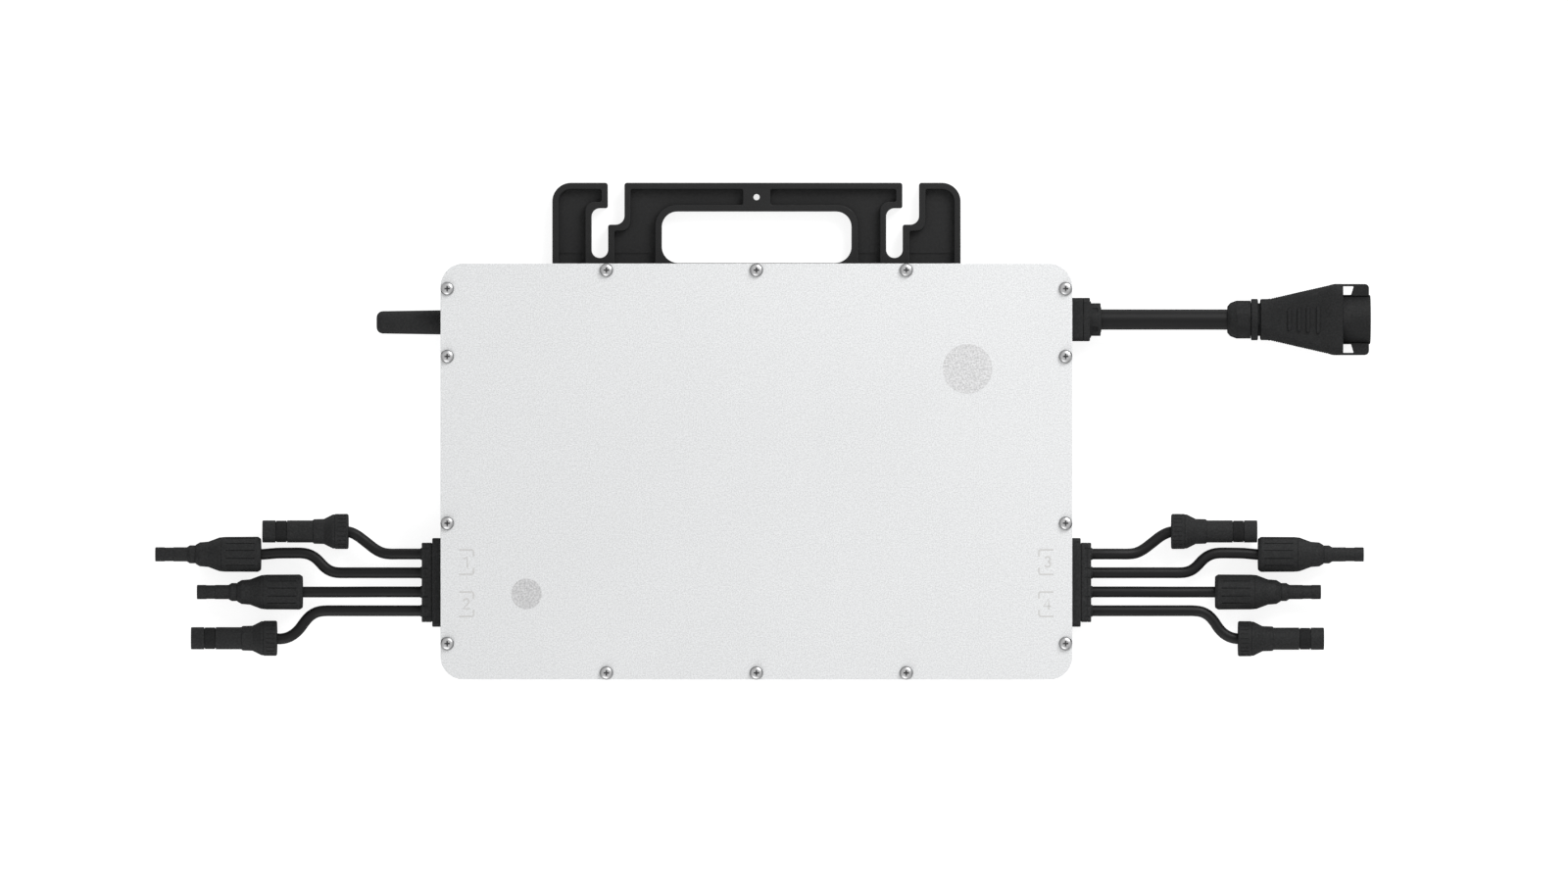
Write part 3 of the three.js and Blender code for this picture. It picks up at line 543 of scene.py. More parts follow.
# Where each lead runs, from its gland's face to the back of its connector: distance out from the
# case's middle, y and z.
ROUTES = {
    "pv1_male": [
        (0.17585, -0.0433, 0.013), (0.182, -0.0433, 0.0128), (0.1875, -0.0433, 0.0122),
        (0.1923, -0.0433, 0.0115), (0.1963, -0.0427, 0.0108), (0.2002, -0.0408, 0.0102),
        (0.2045, -0.0375, 0.0096), (0.2088, -0.0342, 0.00925), (0.2122, -0.0323, 0.00925),
        (0.2154, -0.0315, 0.00925), (0.2186, -0.0315, 0.00925),
    ],
    "pv1_female": [
        (0.17585, -0.05315, 0.013), (0.186, -0.05315, 0.0129), (0.196, -0.05315, 0.0125),
        (0.206, -0.05315, 0.0119), (0.2135, -0.05315, 0.0114), (0.2188, -0.05315, 0.011),
        (0.2222, -0.0527, 0.0108), (0.2252, -0.0514, 0.0106), (0.2278, -0.0492, 0.0104),
        (0.23, -0.0468, 0.0103), (0.2326, -0.0447, 0.0101), (0.2356, -0.04335, 0.0099),
        (0.2392, -0.0428, 0.0098), (0.245, -0.0428, 0.0095), (0.252, -0.0429, 0.00925),
        (0.259, -0.0435, 0.00925), (0.2654, -0.0435, 0.00925),
    ],
    "pv2_female": [
        (0.17585, -0.0632, 0.013), (0.186, -0.0632, 0.0128), (0.197, -0.0632, 0.012),
        (0.208, -0.06325, 0.011), (0.219, -0.0633, 0.01), (0.23, -0.0633, 0.0093),
        (0.238, -0.0633, 0.00925), (0.2435, -0.0633, 0.00925),
    ],
    "pv2_male": [
        (0.17585, -0.0731, 0.013), (0.186, -0.0731, 0.0129), (0.196, -0.0731, 0.0124),
        (0.206, -0.0731, 0.0117), (0.2145, -0.0731, 0.011), (0.2215, -0.0731, 0.0105),
        (0.2266, -0.07315, 0.0101), (0.2307, -0.0738, 0.0098), (0.2343, -0.0758, 0.0096),
        (0.2372, -0.0789, 0.0095), (0.2396, -0.0822, 0.0094), (0.2425, -0.0851, 0.0093),
        (0.246, -0.0871, 0.00925), (0.2498, -0.0879, 0.00925), (0.2531, -0.08765, 0.00925),
        (0.2561, -0.08755, 0.00925),
    ],
    "pv3_male": [
        (0.17585, -0.0433, 0.013), (0.183, -0.0433, 0.0128), (0.19, -0.0433, 0.012),
        (0.1954, -0.0433, 0.0112), (0.1994, -0.0427, 0.0106), (0.2033, -0.0408, 0.0101),
        (0.2077, -0.0375, 0.0096), (0.212, -0.0342, 0.00925), (0.2156, -0.0323, 0.00925),
        (0.219, -0.0315, 0.00925), (0.22215, -0.0315, 0.00925),
    ],
    "pv3_female": [
        (0.17585, -0.05315, 0.013), (0.187, -0.05315, 0.0129), (0.198, -0.05315, 0.0124),
        (0.209, -0.05315, 0.0118), (0.217, -0.05315, 0.0113), (0.2226, -0.05315, 0.0109),
        (0.2261, -0.0527, 0.0107), (0.2291, -0.0514, 0.0105), (0.2317, -0.0492, 0.0103),
        (0.2339, -0.0468, 0.0102), (0.2365, -0.0447, 0.01), (0.2395, -0.04335, 0.0099),
        (0.2431, -0.0428, 0.0097), (0.249, -0.0428, 0.0095), (0.256, -0.04295, 0.00925),
        (0.2625, -0.04355, 0.00925), (0.2686, -0.04355, 0.00925),
    ],
    "pv4_female": [
        (0.17585, -0.0632, 0.013), (0.186, -0.0632, 0.0128), (0.197, -0.0632, 0.0121),
        (0.208, -0.06325, 0.0111), (0.22, -0.0633, 0.0101), (0.231, -0.0633, 0.0094),
        (0.24, -0.0633, 0.00925), (0.2461, -0.0633, 0.00925),
    ],
    "pv4_male": [
        (0.17585, -0.0731, 0.013), (0.187, -0.0731, 0.0128), (0.198, -0.0731, 0.0123),
        (0.208, -0.0731, 0.0116), (0.217, -0.0731, 0.0109), (0.2245, -0.0731, 0.0103),
        (0.2299, -0.07315, 0.0099), (0.234, -0.0738, 0.0097), (0.2376, -0.0758, 0.0095),
        (0.2404, -0.0789, 0.0094), (0.2426, -0.0822, 0.0093), (0.2454, -0.0851, 0.00925),
        (0.249, -0.0871, 0.00925), (0.253, -0.08785, 0.00925), (0.2572, -0.0878, 0.00925),
    ],
}
AC_ROUTE = [(0.1808, AC_AXIS.y, AC_AXIS.z), (0.251, AC_AXIS.y, AC_AXIS.z)]


def side_of(name):
    """-1 for a connector on the left of the case, 1 on the right."""
    return 1 if middle(f"{name}_body").x > 0 else -1


def through(points, samples=32):
    """Points along a Catmull-Rom curve through the given ones."""
    points = [Vector(p) for p in points]
    ends = [2 * points[0] - points[1], *points, 2 * points[-1] - points[-2]]
    out = []
    for i in range(samples + 1):
        along = i / samples * (len(points) - 1)
        k = min(int(along), len(points) - 2)
        t = along - k
        a, b, c, d = ends[k:k + 4]
        out.append(0.5 * (2 * b + (c - a) * t + (2 * a - 5 * b + 4 * c - d) * t * t
                          + (3 * b - a - 3 * c + d) * t ** 3))
    return out


def make_cord(name, points, diameter):
    """A cord's curve, as round as its jacket."""
    curve = bpy.data.curves.new(name, "CURVE")
    curve.dimensions = "3D"
    spline = curve.splines.new("POLY")
    spline.points.add(len(points) - 1)
    for point, place in zip(spline.points, points):
        point.co = (*place, 1)
    spline.use_smooth = True
    curve.bevel_depth, curve.bevel_resolution, curve.use_fill_caps = diameter / 2, 10, True
    curve.materials.append(JACKET)
    holder = bpy.data.objects.new(name, curve)
    scene.collection.objects.link(holder)
    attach(holder, ROOT)
    return holder


for lead_name, route in ROUTES.items():
    side = side_of(lead_name)
    line = through([(side * x, y, z) for x, y, z in route])
    make_cord(f"{lead_name}_jacket", line, LEAD_DIAMETER)
    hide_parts(f"{lead_name}_lead")
ac_line = through(AC_ROUTE, 16)
make_cord("ac_cable_jacket", ac_line, AC_DIAMETER)
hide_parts("ac_cable")


# ---- case ----------------------------------------------------------------------------------------

def screw_places():
    return [middle(name) for name in SCREWS]


def front_cover():
    edge = 0.25 * MM
    outline = rounded_rectangle(CASE_HALF_X, CASE_HALF_Y, CASE_CORNER, steps=20)
    seats = [circle(place.x, place.y, SCREW_HOLE_RADIUS, 20) for place in screw_places()]
    mesh = plate([outline, *seats], COVER_LOW.z, COVER_TOP, edge)
    piece("cover_plate", mesh, COVER_FINISH, replaces=["front_cover"])


def fin_places():
    reach = WALL_X + 0.5 * MM - FIN_THICKNESS / 2
    return [-reach + 2 * reach * i / (FIN_COUNT - 1) for i in range(FIN_COUNT)]


def screw_boss(place):
    """The thickening under the flange at a screw, with its web to the wall."""
    bottom, top = 20 * MM, FLANGE_BOTTOM + 1 * MM
    boss = placed(rod(0, (top - bottom) / MM, 3.3), at(place.x, place.y, bottom) @ TO_STANDING)
    inward = Vector((max(-WALL_X, min(WALL_X, place.x)), max(-WALL_Y, min(WALL_Y, place.y))))
    step = (inward - place.xy).normalized() * MM
    pad = Vector((abs(step.y), abs(step.x))) * 2.4
    ends = [place.xy, inward + step]
    low = Vector(min(p[k] for p in ends) - pad[k] for k in (0, 1))
    high = Vector(max(p[k] for p in ends) + pad[k] for k in (0, 1))
    web = block((*low, bottom + 1.5 * MM), (*high, top), 0.3 * MM)
    return union([boss, web])


def tray():
    """The die-cast case: finned floor, walls, and the flange that carries the cover."""
    rim_top = COVER_LOW.z - 0.3 * MM
    footprint = rounded_rectangle(WALL_X, WALL_Y, 8 * MM)
    flange = plate([rounded_rectangle(CASE_HALF_X, CASE_HALF_Y, CASE_CORNER, steps=20)],
                   FLANGE_BOTTOM, rim_top, 0.6 * MM)
    walls = plate([footprint], FLOOR_BOTTOM, FLANGE_BOTTOM + 1 * MM, 0.5 * MM)
    half, reach, fin_top = FIN_THICKNESS / 2, WALL_Y + MM, FLOOR_BOTTOM + MM
    fins = [block((x - half, -reach, 0), (x + half, reach, fin_top)) for x in fin_places()]
    plateau = block((-45 * MM, -50 * MM, 0), (45 * MM, 34 * MM, fin_top))
    inside_walls = plate([footprint], -2 * MM, fin_top + MM)
    base = boolean(union([plateau, *fins]), inside_walls, "INTERSECT")
    shell = union([walls, flange, base, *[screw_boss(place) for place in screw_places()]])
    cavity = plate([rounded_rectangle(WALL_X - 4 * MM, WALL_Y - 4 * MM, 4 * MM)], 11 * MM, rim_top + MM)
    recess = block((-101 * MM, 73 * MM, -MM), (101 * MM, WALL_Y + MM, FLOOR_BOTTOM))
    return cut(shell, [cavity, recess])


def make_case():
    front_cover()
    piece("die_cast_tray", tray(), TRAY_FINISH, replaces=["housing_base"])


# ---- cover screws --------------------------------------------------------------------------------

def pan_head():
    """Pan head with a cross recess, standing on z = 0, and its shank below."""
    head = placed(turned([
        (-12, 0), (-12, 1.55), (0, 1.55), (0, 3.55, 0.15), (0.6, 3.55, 0.3), (1.6, 2.95, 0.9),
        (2.1, 1.9, 3), (2.1, 0),
    ], 64), TO_STANDING)
    arm = [(-1.7, 2.4), (1.7, 2.4), (0.3, 0.1), (-0.3, 0.1)]
    half = 0.42
    faces = [(0, 1, 2, 3), (7, 6, 5, 4), (0, 4, 5, 1), (1, 5, 6, 2), (2, 6, 7, 3), (3, 7, 4, 0)]
    across = mesh_from([(x * MM, w * MM, z * MM) for w in (-half, half) for x, z in arm], faces)
    along = placed(across, Matrix.Rotation(math.pi / 2, 4, "Z"))
    return cut(head, [union([across, along])])


def make_cover_screws():
    mesh = pan_head()
    seat = COVER_TOP + 0.3 * MM
    recess = painted_recess_shade()
    for name, place in zip(SCREWS, screw_places()):
        centre = Vector((place.x, place.y, seat))
        head = piece(f"{name}_head", placed(mesh, at(*centre)), STEEL, replaces=[name])
        # The cross recess faces get the dull grey as a second material: painted shade in the recess.
        head.data.materials.append(recess)
        for face in head.data.polygons:
            offset = face.center - centre
            in_shaded_recess = face.normal.z < 0.85 or offset.z < 1.5 * MM
            if offset.z > 0 and offset.xy.length < 1.8 * MM and in_shaded_recess:
                face.material_index = 1


# ---- prints on the cover -------------------------------------------------------------------------

def disc(name, x, y, radius, material):
    mesh = plate([circle(x, y, radius, 96)], COVER_TOP - 0.05 * MM, COVER_TOP + 0.04 * MM)
    piece(name, mesh, material)


def stroke(points, width):
    """A printed line along points in millimetres, as a ribbon that stands 0.03 mm on the cover."""
    curve = bpy.data.curves.new("stroke", "CURVE")
    curve.dimensions = "3D"
    spline = curve.splines.new("POLY")
    spline.points.add(len(points) - 1)
    for point, (x, y) in zip(spline.points, points):
        point.co = (x * MM, y * MM, 0, 1)
    curve.bevel_depth, curve.bevel_resolution, curve.use_fill_caps = width / 2 * MM, 3, True
    holder = bpy.data.objects.new("stroke", curve)
    mesh = welded(bpy.data.meshes.new_from_object(holder))
    bpy.data.objects.remove(holder)
    return placed(mesh, at(z=COVER_TOP) @ Matrix.Diagonal((1, 1, 0.03 / (width / 2), 1)))


def arc(x, y, radius, start, end, steps=14):
    angles = [math.radians(start + (end - start) * i / steps) for i in range(steps + 1)]
    return [(x + radius * math.cos(a), y + radius * math.sin(a)) for a in angles]


# Strokes of each port's digit, and the widths of the printed lines, in millimetres.
DIGIT_WIDTH = 1.0
MARK_WIDTH = 0.95
DIGITS = {
    "1": [[(-1.5, 1.6), (0.4, 2.75), (0.4, -2.95)]],
    "2": [[*arc(0, 1.15, 1.45, 170, -35), (-1.55, -2.6), (1.9, -2.6)]],
    "3": [[*arc(0, 1.35, 1.28, 165, -80), *arc(0, -1.2, 1.43, 80, -165)]],
    "4": [[(0.95, -3.05), (0.95, 2.75), (-1.7, -1.25), (2.1, -1.25)]],
}


def digit(character, x, y):
    """A port's number as printed strokes."""
    lines = DIGITS[character]
    return [stroke([(x + px, y + py) for px, py in line], DIGIT_WIDTH) for line in lines]


def corner_mark(x, y_high, y_low, outward, gap):
    """Two printed angles round a port's digit, open towards the case's edge."""
    reach, corner = 7.6, 1.0
    middle_y = (y_high + y_low) / 2
    strokes = []
    for y, up in ((y_high, 1), (y_low, -1)):
        strokes.append(stroke([
            (x, middle_y + up * gap),
            (x, y - up * corner),
            (x + outward * 0.3 * corner, y - up * 0.3 * corner),
            (x + outward * corner, y),
            (x + outward * reach, y),
        ], MARK_WIDTH))
    return strokes


def make_prints():
    disc("cover_disc_large", 110.6 * MM, 53.8 * MM, 13 * MM, LARGE_DISC_GREY)
    disc("cover_disc_small", -120.5 * MM, -64.1 * MM, 8 * MM, SMALL_DISC_GREY)
    ports = {
        "1": (-148.2, -41.0, -53.9, -1, -151.9, -47.4),
        "2": (-148.2, -63.1, -75.9, -1, -152.1, -69.3),
        "3": (148.0, -41.0, -53.9, 1, 152.6, -47.3),
        "4": (148.0, -63.1, -75.9, 1, 152.2, -69.3),
    }
    for character, (x, high, low, outward, digit_x, digit_y) in ports.items():
        mesh = joined([*corner_mark(x, high, low, outward, 2.9), *digit(character, digit_x, digit_y)])
        piece(f"port_{character}_print", mesh, MARK_INK)


# ---- mounting bracket ----------------------------------------------------------------------------

def scaled(points):
    return [Vector((x, y)) * MM for x, y in points]


def slotted_outline():
    """The bracket's edge, which runs down into both L-shaped slots."""
    half, top, bottom = 107.2, 151.6, 102.3

    def slot(shift):
        return [
            (-78.1 + shift, top, 1.3), (-78.1 + shift, 138.3, 1.1), (-86.6 + shift, 138.3, 4.4),
            (-86.6 + shift, 112.15, 4.345), (-77.9 + shift, 112.15, 4.345), (-77.9 + shift, 129.6, 1.1),
            (-69.3 + shift, 129.6, 4.7), (-69.3 + shift, top, 1.3),
        ]

    corners = [(half, bottom), (half, top, 9.8), *reversed(slot(154.7)), *reversed(slot(0)),
               (-half, top, 9.8), (-half, bottom)]
    return scaled(filleted(corners, 12))


def pocket_outlines():
    high, low, edge = 148.2, 104.5, 103.8
    outlines = [
        [(-edge, high, 6.4), (-81.5, high, 1), (-81.5, 141.7, 1), (-90, 141.7, 4.5),
         (-90, low), (-edge, low)],
        [(-66, high, 1), (-7.2, high, 1), (-7.2, 140.1, 1), (-53.3, 140.1, 11), (-53.3, low),
         (-74.5, low), (-74.5, 126.2, 1), (-66, 126.2, 5)],
        [(7.4, high, 1), (73.2, high, 1), (73.2, 141.7, 1), (64.8, 141.7, 4.5), (64.8, low),
         (53.5, low), (53.5, 140.1, 11), (7.4, 140.1, 1)],
        [(88.9, high, 1), (edge, high, 6.4), (edge, low), (80.5, low),
         (80.5, 126.2, 1), (88.9, 126.2, 5)],
    ]
    return [scaled(filleted(outline, 10)) for outline in outlines]


def make_bracket():
    handle = scaled(filleted([
        (-49.7, 109.5, 8.7), (49.9, 109.5, 8.7), (49.9, 136.55, 8.1), (-49.7, 136.55, 8.1),
    ], 14))
    hole = circle(0.05 * MM, 144.1 * MM, 1.65 * MM, 32)
    thickness, floor = 10 * MM, 5 * MM
    web = plate([slotted_outline(), handle, hole], 0, floor, 0.35 * MM)
    rims = plate([slotted_outline(), handle, hole, *pocket_outlines()], 1.8 * MM, thickness, 0.45 * MM)
    foot = block((-100 * MM, 74 * MM, 0), (100 * MM, 103 * MM, 7.7 * MM), 0.4 * MM)
    low_strip = block((-110 * MM, 104 * MM, 0), (110 * MM, 114.6 * MM, 9 * MM))
    screw_bore = turned([(-1, 0), (-1, 4.6), (3.3, 4.6), (3.3, 2.5), (9, 2.5), (9, 0)])
    bores = [placed(screw_bore, at(side * 72 * MM, 86 * MM, 0) @ TO_STANDING) for side in (-1, 1)]
    lowered = [boolean(plate([outline], floor - 0.5 * MM, floor + MM), low_strip, "INTERSECT")
               for outline in pocket_outlines()]
    mesh = cut(union([web, rims, foot]), [*bores, joined(lowered)])
    piece("hanging_bracket", mesh, POWDER_BLACK, replaces=["mounting_bracket"])


# ---- antenna and glands --------------------------------------------------------------------------

def make_antenna():
    centre = middle("antenna_stub")
    root = -158.8
    mesh = turned([
        (-199.3, 0), (-199.3, 5.85, 3.3), (root + 3, 6.5), (root + 3, 6.5), (root + 3, 6.65, 0.1),
        (root, 6.65, 0.3), (root, 4, 0.1), (root + 7, 4, 0.5), (root + 7, 0),
    ])
    piece("antenna_cap", placed(mesh, at(0, centre.y, centre.z)), PLASTIC,
          replaces=["antenna_stub"])


def facing_x(outline, start, end, edge):
    """A plate drawn in the YZ plane, between two distances along X, in millimetres."""
    mesh = plate([scaled(outline)], start * MM, end * MM, edge * MM)
    return placed(mesh, Matrix(((0, 0, 1, 0), (0, 1, 0, 0), (-1, 0, 0, 0), (0, 0, 0, 1))))


def make_ac_gland():
    block_end, nose_end = 174.9, 180.95
    body = facing_x(rounded_rectangle(11.35, 11.35, 2.4, steps=8), 158.8, block_end, 0.5)
    step = turned([(170, 0), (170, 9.6), (block_end + 0.7, 9.6, 0.3), (block_end + 0.7, 0)])
    nose = turned([
        (170, 0), (170, 8.6), (nose_end - 0.3, 8.6, 0.45), (nose_end - 0.3, 6.6, 0.1),
        (nose_end, 6.4, 0.1), (nose_end, 5.4, 0.1), (nose_end - 1.4, 5.4), (nose_end - 1.4, 0),
    ], 96)
    tail = placed(rod(150.5, 160, 6), at(z=4.4 * MM))
    solid = union([body, step, nose, tail])
    groove = cut(rod(171.35, 171.65, 20, 48), [rod(171, 172, 11.15, 48)])
    clips = []
    for angle in (35, 145, 215, 325):
        notch = block((176.2 * MM, -1.4 * MM, 7.9 * MM), (179.2 * MM, 1.4 * MM, 9.2 * MM), 0.2 * MM)
        clips.append(placed(notch, Matrix.Rotation(math.radians(angle), 4, "X")))
    mesh = cut(solid, [groove, *clips])
    piece("ac_gland_housing", placed(mesh, at(0, AC_AXIS.y, AC_AXIS.z)), PLASTIC,
          replaces=["ac_gland"])


LEAD_OFFSETS = (14.9, 5.05, -5.0, -14.9)


def dc_gland_mesh():
    """Flange and nose block with a seam between them, and a collar round each lead. For the right."""
    flange = facing_x(rounded_rectangle(10.5, 23.25, 1.8, steps=8), 158.8, 170.05, 0.5)
    neck = facing_x(rounded_rectangle(8.2, 20.5, 1.5, steps=8), 160, 172, 0.2)
    nose = facing_x(rounded_rectangle(8.5, 20.8, 1.5, steps=8), 170.35, 175.6, 0.45)
    seam = cut(facing_x(rounded_rectangle(9, 21.3, 1.5), 173.45, 173.75, 0), [
        facing_x(rounded_rectangle(8.2, 20.5, 1.3), 173, 174, 0),
    ])
    collar = turned([(172, 0), (172, 3.3), (176.4, 3.15, 0.2), (176.4, 0)], 48)
    collars = [placed(collar, at(y=y * MM)) for y in LEAD_OFFSETS]
    tail = block((150.5 * MM, -15.7 * MM, -0.7 * MM), (160 * MM, 15.7 * MM, 6.7 * MM), 0.4 * MM)
    body = union([flange, neck, nose, tail, *collars])
    notch = block((172.3 * MM, -0.4 * MM, 8.1 * MM), (174.9 * MM, 0.4 * MM, 9 * MM), 0.1 * MM)
    notches = [placed(notch, at(y=y * MM)) for y in (-18, -12.4, -7.4, 2.5, 7.4, 17.8)]
    bores = [placed(rod(174.2, 177, 2.9), at(y=y * MM)) for y in LEAD_OFFSETS]
    return cut(body, [seam, joined(notches), joined(bores)])


def make_dc_glands():
    right = dc_gland_mesh()
    centre = middle("dc_gland_right")
    shift = at(0, centre.y, 13 * MM)
    mirrored = Matrix.Diagonal((-1, 1, 1, 1))
    piece("dc_gland_housing_right", placed(right, shift), LIGHTENED_GLAND_PLASTIC,
          replaces=["dc_gland_right"])
    piece("dc_gland_housing_left", placed(right, mirrored @ shift), LIGHTENED_GLAND_PLASTIC,
          replaces=["dc_gland_left"])


# ---- PV connectors -------------------------------------------------------------------------------
# Profiles run from the tip at 0 towards the lead, in millimetres.

def put_on_lead(mesh, name):
    """Moves a connector's mesh from its own axis to its place, with the tip outwards."""
    low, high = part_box(f"{name}_body")
    side = side_of(name)
    tip = high[0] if side > 0 else low[0]
    centre = middle(f"{name}_body")
    return placed(mesh, at(tip, centre.y, centre.z) @ Matrix.Diagonal((-side, 1, 1, 1)))


def male_body_mesh():
    """A sleeve round the pin, with the seat of its dark band, and a cone up to the nut."""
    return turned([
        (0, 4.1, 0.3), (0, 5.82, 0.45), (6.9, 5.82, 0.12), (6.9, 5.2),
        (7.4, 5.2), (7.4, 5.5, 0.1), (12.5, 5.5, 0.1), (12.5, 5.2),
        (13.0, 5.2), (13.0, 5.82, 0.12), (26.4, 5.82, 0.2), (27.1, 6.45, 0.2),
        (32.3, 6.6, 0.4), (37, 8.95, 0.2), (38.1, 8.95, 0.08), (38.1, 6.7),
        (40.5, 6.7, 0.3), (40.5, 0), (24, 0), (24, 4.1),
    ], 96)


def male_nut_mesh():
    """A short cap with twenty-four fine flutes."""
    shell = turned([
        (38.18, 7.1), (38.18, 9.2, 0.12), (44.2, 9.25, 0.2), (45.2, 9.1, 0.9),
        (45.2, 4.1, 0.5), (43.9, 4.1), (43.9, 7.1),
    ], 96)
    flute = block((39.6 * MM, -0.35 * MM, 8.98 * MM), (44 * MM, 0.35 * MM, 10 * MM), 0.1 * MM)
    flutes = [placed(flute, Matrix.Rotation(TURN * i / 24, 4, "X")) for i in range(24)]
    return cut(shell, [joined(flutes)])


def female_body_mesh():
    """A narrow nose round the socket, widening in steps and a cone up to the nut."""
    return turned([
        (0, 2.0, 0.3), (0, 3.75, 0.4), (4.9, 3.75, 0.1), (4.9, 3.6, 0.1),
        (9.6, 3.6, 0.1), (9.6, 3.75, 0.1), (16.6, 3.75, 0.5), (18.2, 4.75, 0.6),
        (20.7, 4.75, 0.15), (20.9, 4.6), (21.4, 5.1, 0.2), (23.4, 6.3, 0.3),
        (27.8, 6.65, 0.3), (33.7, 8.85, 0.2), (34.7, 8.95, 0.08), (34.7, 6.7),
        (50, 6.7, 0.3), (50, 0), (16, 0), (16, 2.0),
    ], 96)


def female_nut_mesh():
    """A long cap with a plain front ring and fourteen grip grooves along it."""
    shell = turned([
        (34.78, 7.1), (34.78, 9.0, 0.12), (36.4, 9.1, 0.3), (36.9, 9.15, 0.3), (54.0, 9.23, 1.2),
        (55.6, 8.2, 0.9), (55.6, 4.1, 0.5), (54.2, 4.1), (54.2, 7.1),
    ], 96)
    groove = block((37.2 * MM, -0.32 * MM, 8.8 * MM), (52.3 * MM, 0.32 * MM, 10 * MM), 0.1 * MM)
    grooves = [placed(groove, Matrix.Rotation(TURN * (i + 0.5) / 14, 4, "X")) for i in range(14)]
    return cut(shell, [joined(grooves)])


def make_pv_connectors():
    meshes = {
        "male": (male_body_mesh(), male_nut_mesh()),
        "female": (female_body_mesh(), female_nut_mesh()),
    }
    band = turned([(7.3, 5.3), (7.3, 5.68, 0.08), (12.6, 5.68, 0.08), (12.6, 5.3)], 96)
    band_finish = moulded_plastic("dark_plastic_band", (0.0135, 0.0137, 0.014), 0.75)
    pin = turned([(3.5, 0), (3.5, 1.2, 0.9), (6, 1.5, 0.5), (24.2, 1.5), (24.2, 0)])
    socket = turned([(1.5, 1.35, 0.1), (1.5, 1.9, 0.2), (15.8, 1.9), (15.8, 1.35)])
    contacts = {"male": pin, "female": socket}
    for name in MALES + FEMALES:
        kind = name.split("_")[1]
        body, nut = meshes[kind]
        shell = piece(f"{name}_shell", put_on_lead(body, name), PLASTIC,
                      replaces=[f"{name}_body"])
        cap = piece(f"{name}_cap", put_on_lead(nut, name), PLASTIC, body=f"{name}_nut",
                    replaces=[f"{name}_nut"])
        metal = put_on_lead(contacts[kind], name)
        contact = piece(f"{name}_contact", metal, CONTACT)
        if kind == "male":
            piece(f"{name}_band", put_on_lead(band, name), band_finish)


# ---- AC connector --------------------------------------------------------------------------------

def ac_nut_mesh():
    """Domed cable nut, round at both ends with six flats between."""
    shell = turned([
        (247.1, 5.75, 0.3), (247.1, 6.9, 0.8), (248.6, 8.7, 2), (251.9, 9.95, 1),
        (259.4, 9.95, 0.2), (259.4, 7.9), (251.4, 7.9), (251.4, 5.75),
    ], 120)
    flat = 9.55
    tools = []
    for i in range(6):
        tool = block((252 * MM, -12 * MM, flat * MM), (258.6 * MM, 12 * MM, 12 * MM), 0.3 * MM)
        tools.append(placed(tool, Matrix.Rotation(TURN * i / 6, 4, "X")))
    return cut(shell, tools)


FLARE_WIDTHS = [(264.4, 10.8), (268.3, 10.8), (300.7, 18.1), (303.2, 18.65), (308, 18.65)]
FLARE_HEIGHTS = [(264.4, 10.4), (268.3, 10.5), (296, 12.3), (301, 13.3), (304, 13.6), (308, 13.6)]


def half_size(x, steps):
    """The flared housing's half width or height at a distance x, in millimetres."""
    for (x0, size0), (x1, size1) in zip(steps, steps[1:]):
        if x <= x1:
            return size0 + (size1 - size0) * (x - x0) / (x1 - x0)
    return steps[-1][1]


def flare_mesh():
    """The flared housing as a loft of rounded sections, ridged on its two slopes."""
    pitch, per_ridge = 1.15, 4
    stations = [264.4, 264.7, 265.2, 267, 268.3]
    x = 269.0
    while x < 301.5:
        stations.append(x)
        x += pitch / per_ridge
    stations += [302, 302.8, 303.6, 305, 306.8, 307.4, 307.7]
    rings = []
    for x in stations:
        width, height = half_size(x, FLARE_WIDTHS), half_size(x, FLARE_HEIGHTS)
        ridged = 269.5 < x < 301.2
        phase = (x - 269.5) / pitch % 1
        dip = 0.5 * (1 - abs(2 * phase - 1)) if ridged else 0.0
        end = 0.6 if x in (264.4, 307.7) else 0.15 if x in (264.7, 307.4) else 0.0
        corner = 0.34 * height + 4.5 * max(0.0, (284 - x) / 20)
        ring = rounded_rectangle(height - end, width - end, min(corner, height - 1), steps=10)
        shaped = []
        for z, y in ring:
            share = min(1.0, max(0.0, (abs(y) / width - 0.72) / 0.2))
            side_on = max(0.0, 1 - abs(z) / height)
            inward = math.copysign(dip * share * min(1, 2 * side_on), y)
            shaped.append((x * MM, (y - inward) * MM, z * MM))
        rings.append(shaped)
    count = len(rings[0])
    vertices = [v for ring in rings for v in ring]
    faces = [tuple(range(count)), tuple(range(len(vertices) - 1, len(vertices) - count - 1, -1))]
    for i in range(len(rings) - 1):
        for j in range(count):
            k = (j + 1) % count
            faces.append((i * count + j, i * count + k, (i + 1) * count + k, (i + 1) * count + j))
    return mesh_from(vertices, faces)


def grip_rib(x, length):
    """A rounded bar across the flare's top and bottom, 1 mm proud."""
    height = half_size(x, FLARE_HEIGHTS) + 1
    outline = rounded_rectangle(0.9, length / 2, 0.85, x=x, steps=6)
    return plate([scaled(outline)], -height * MM, height * MM, 0.25 * MM)


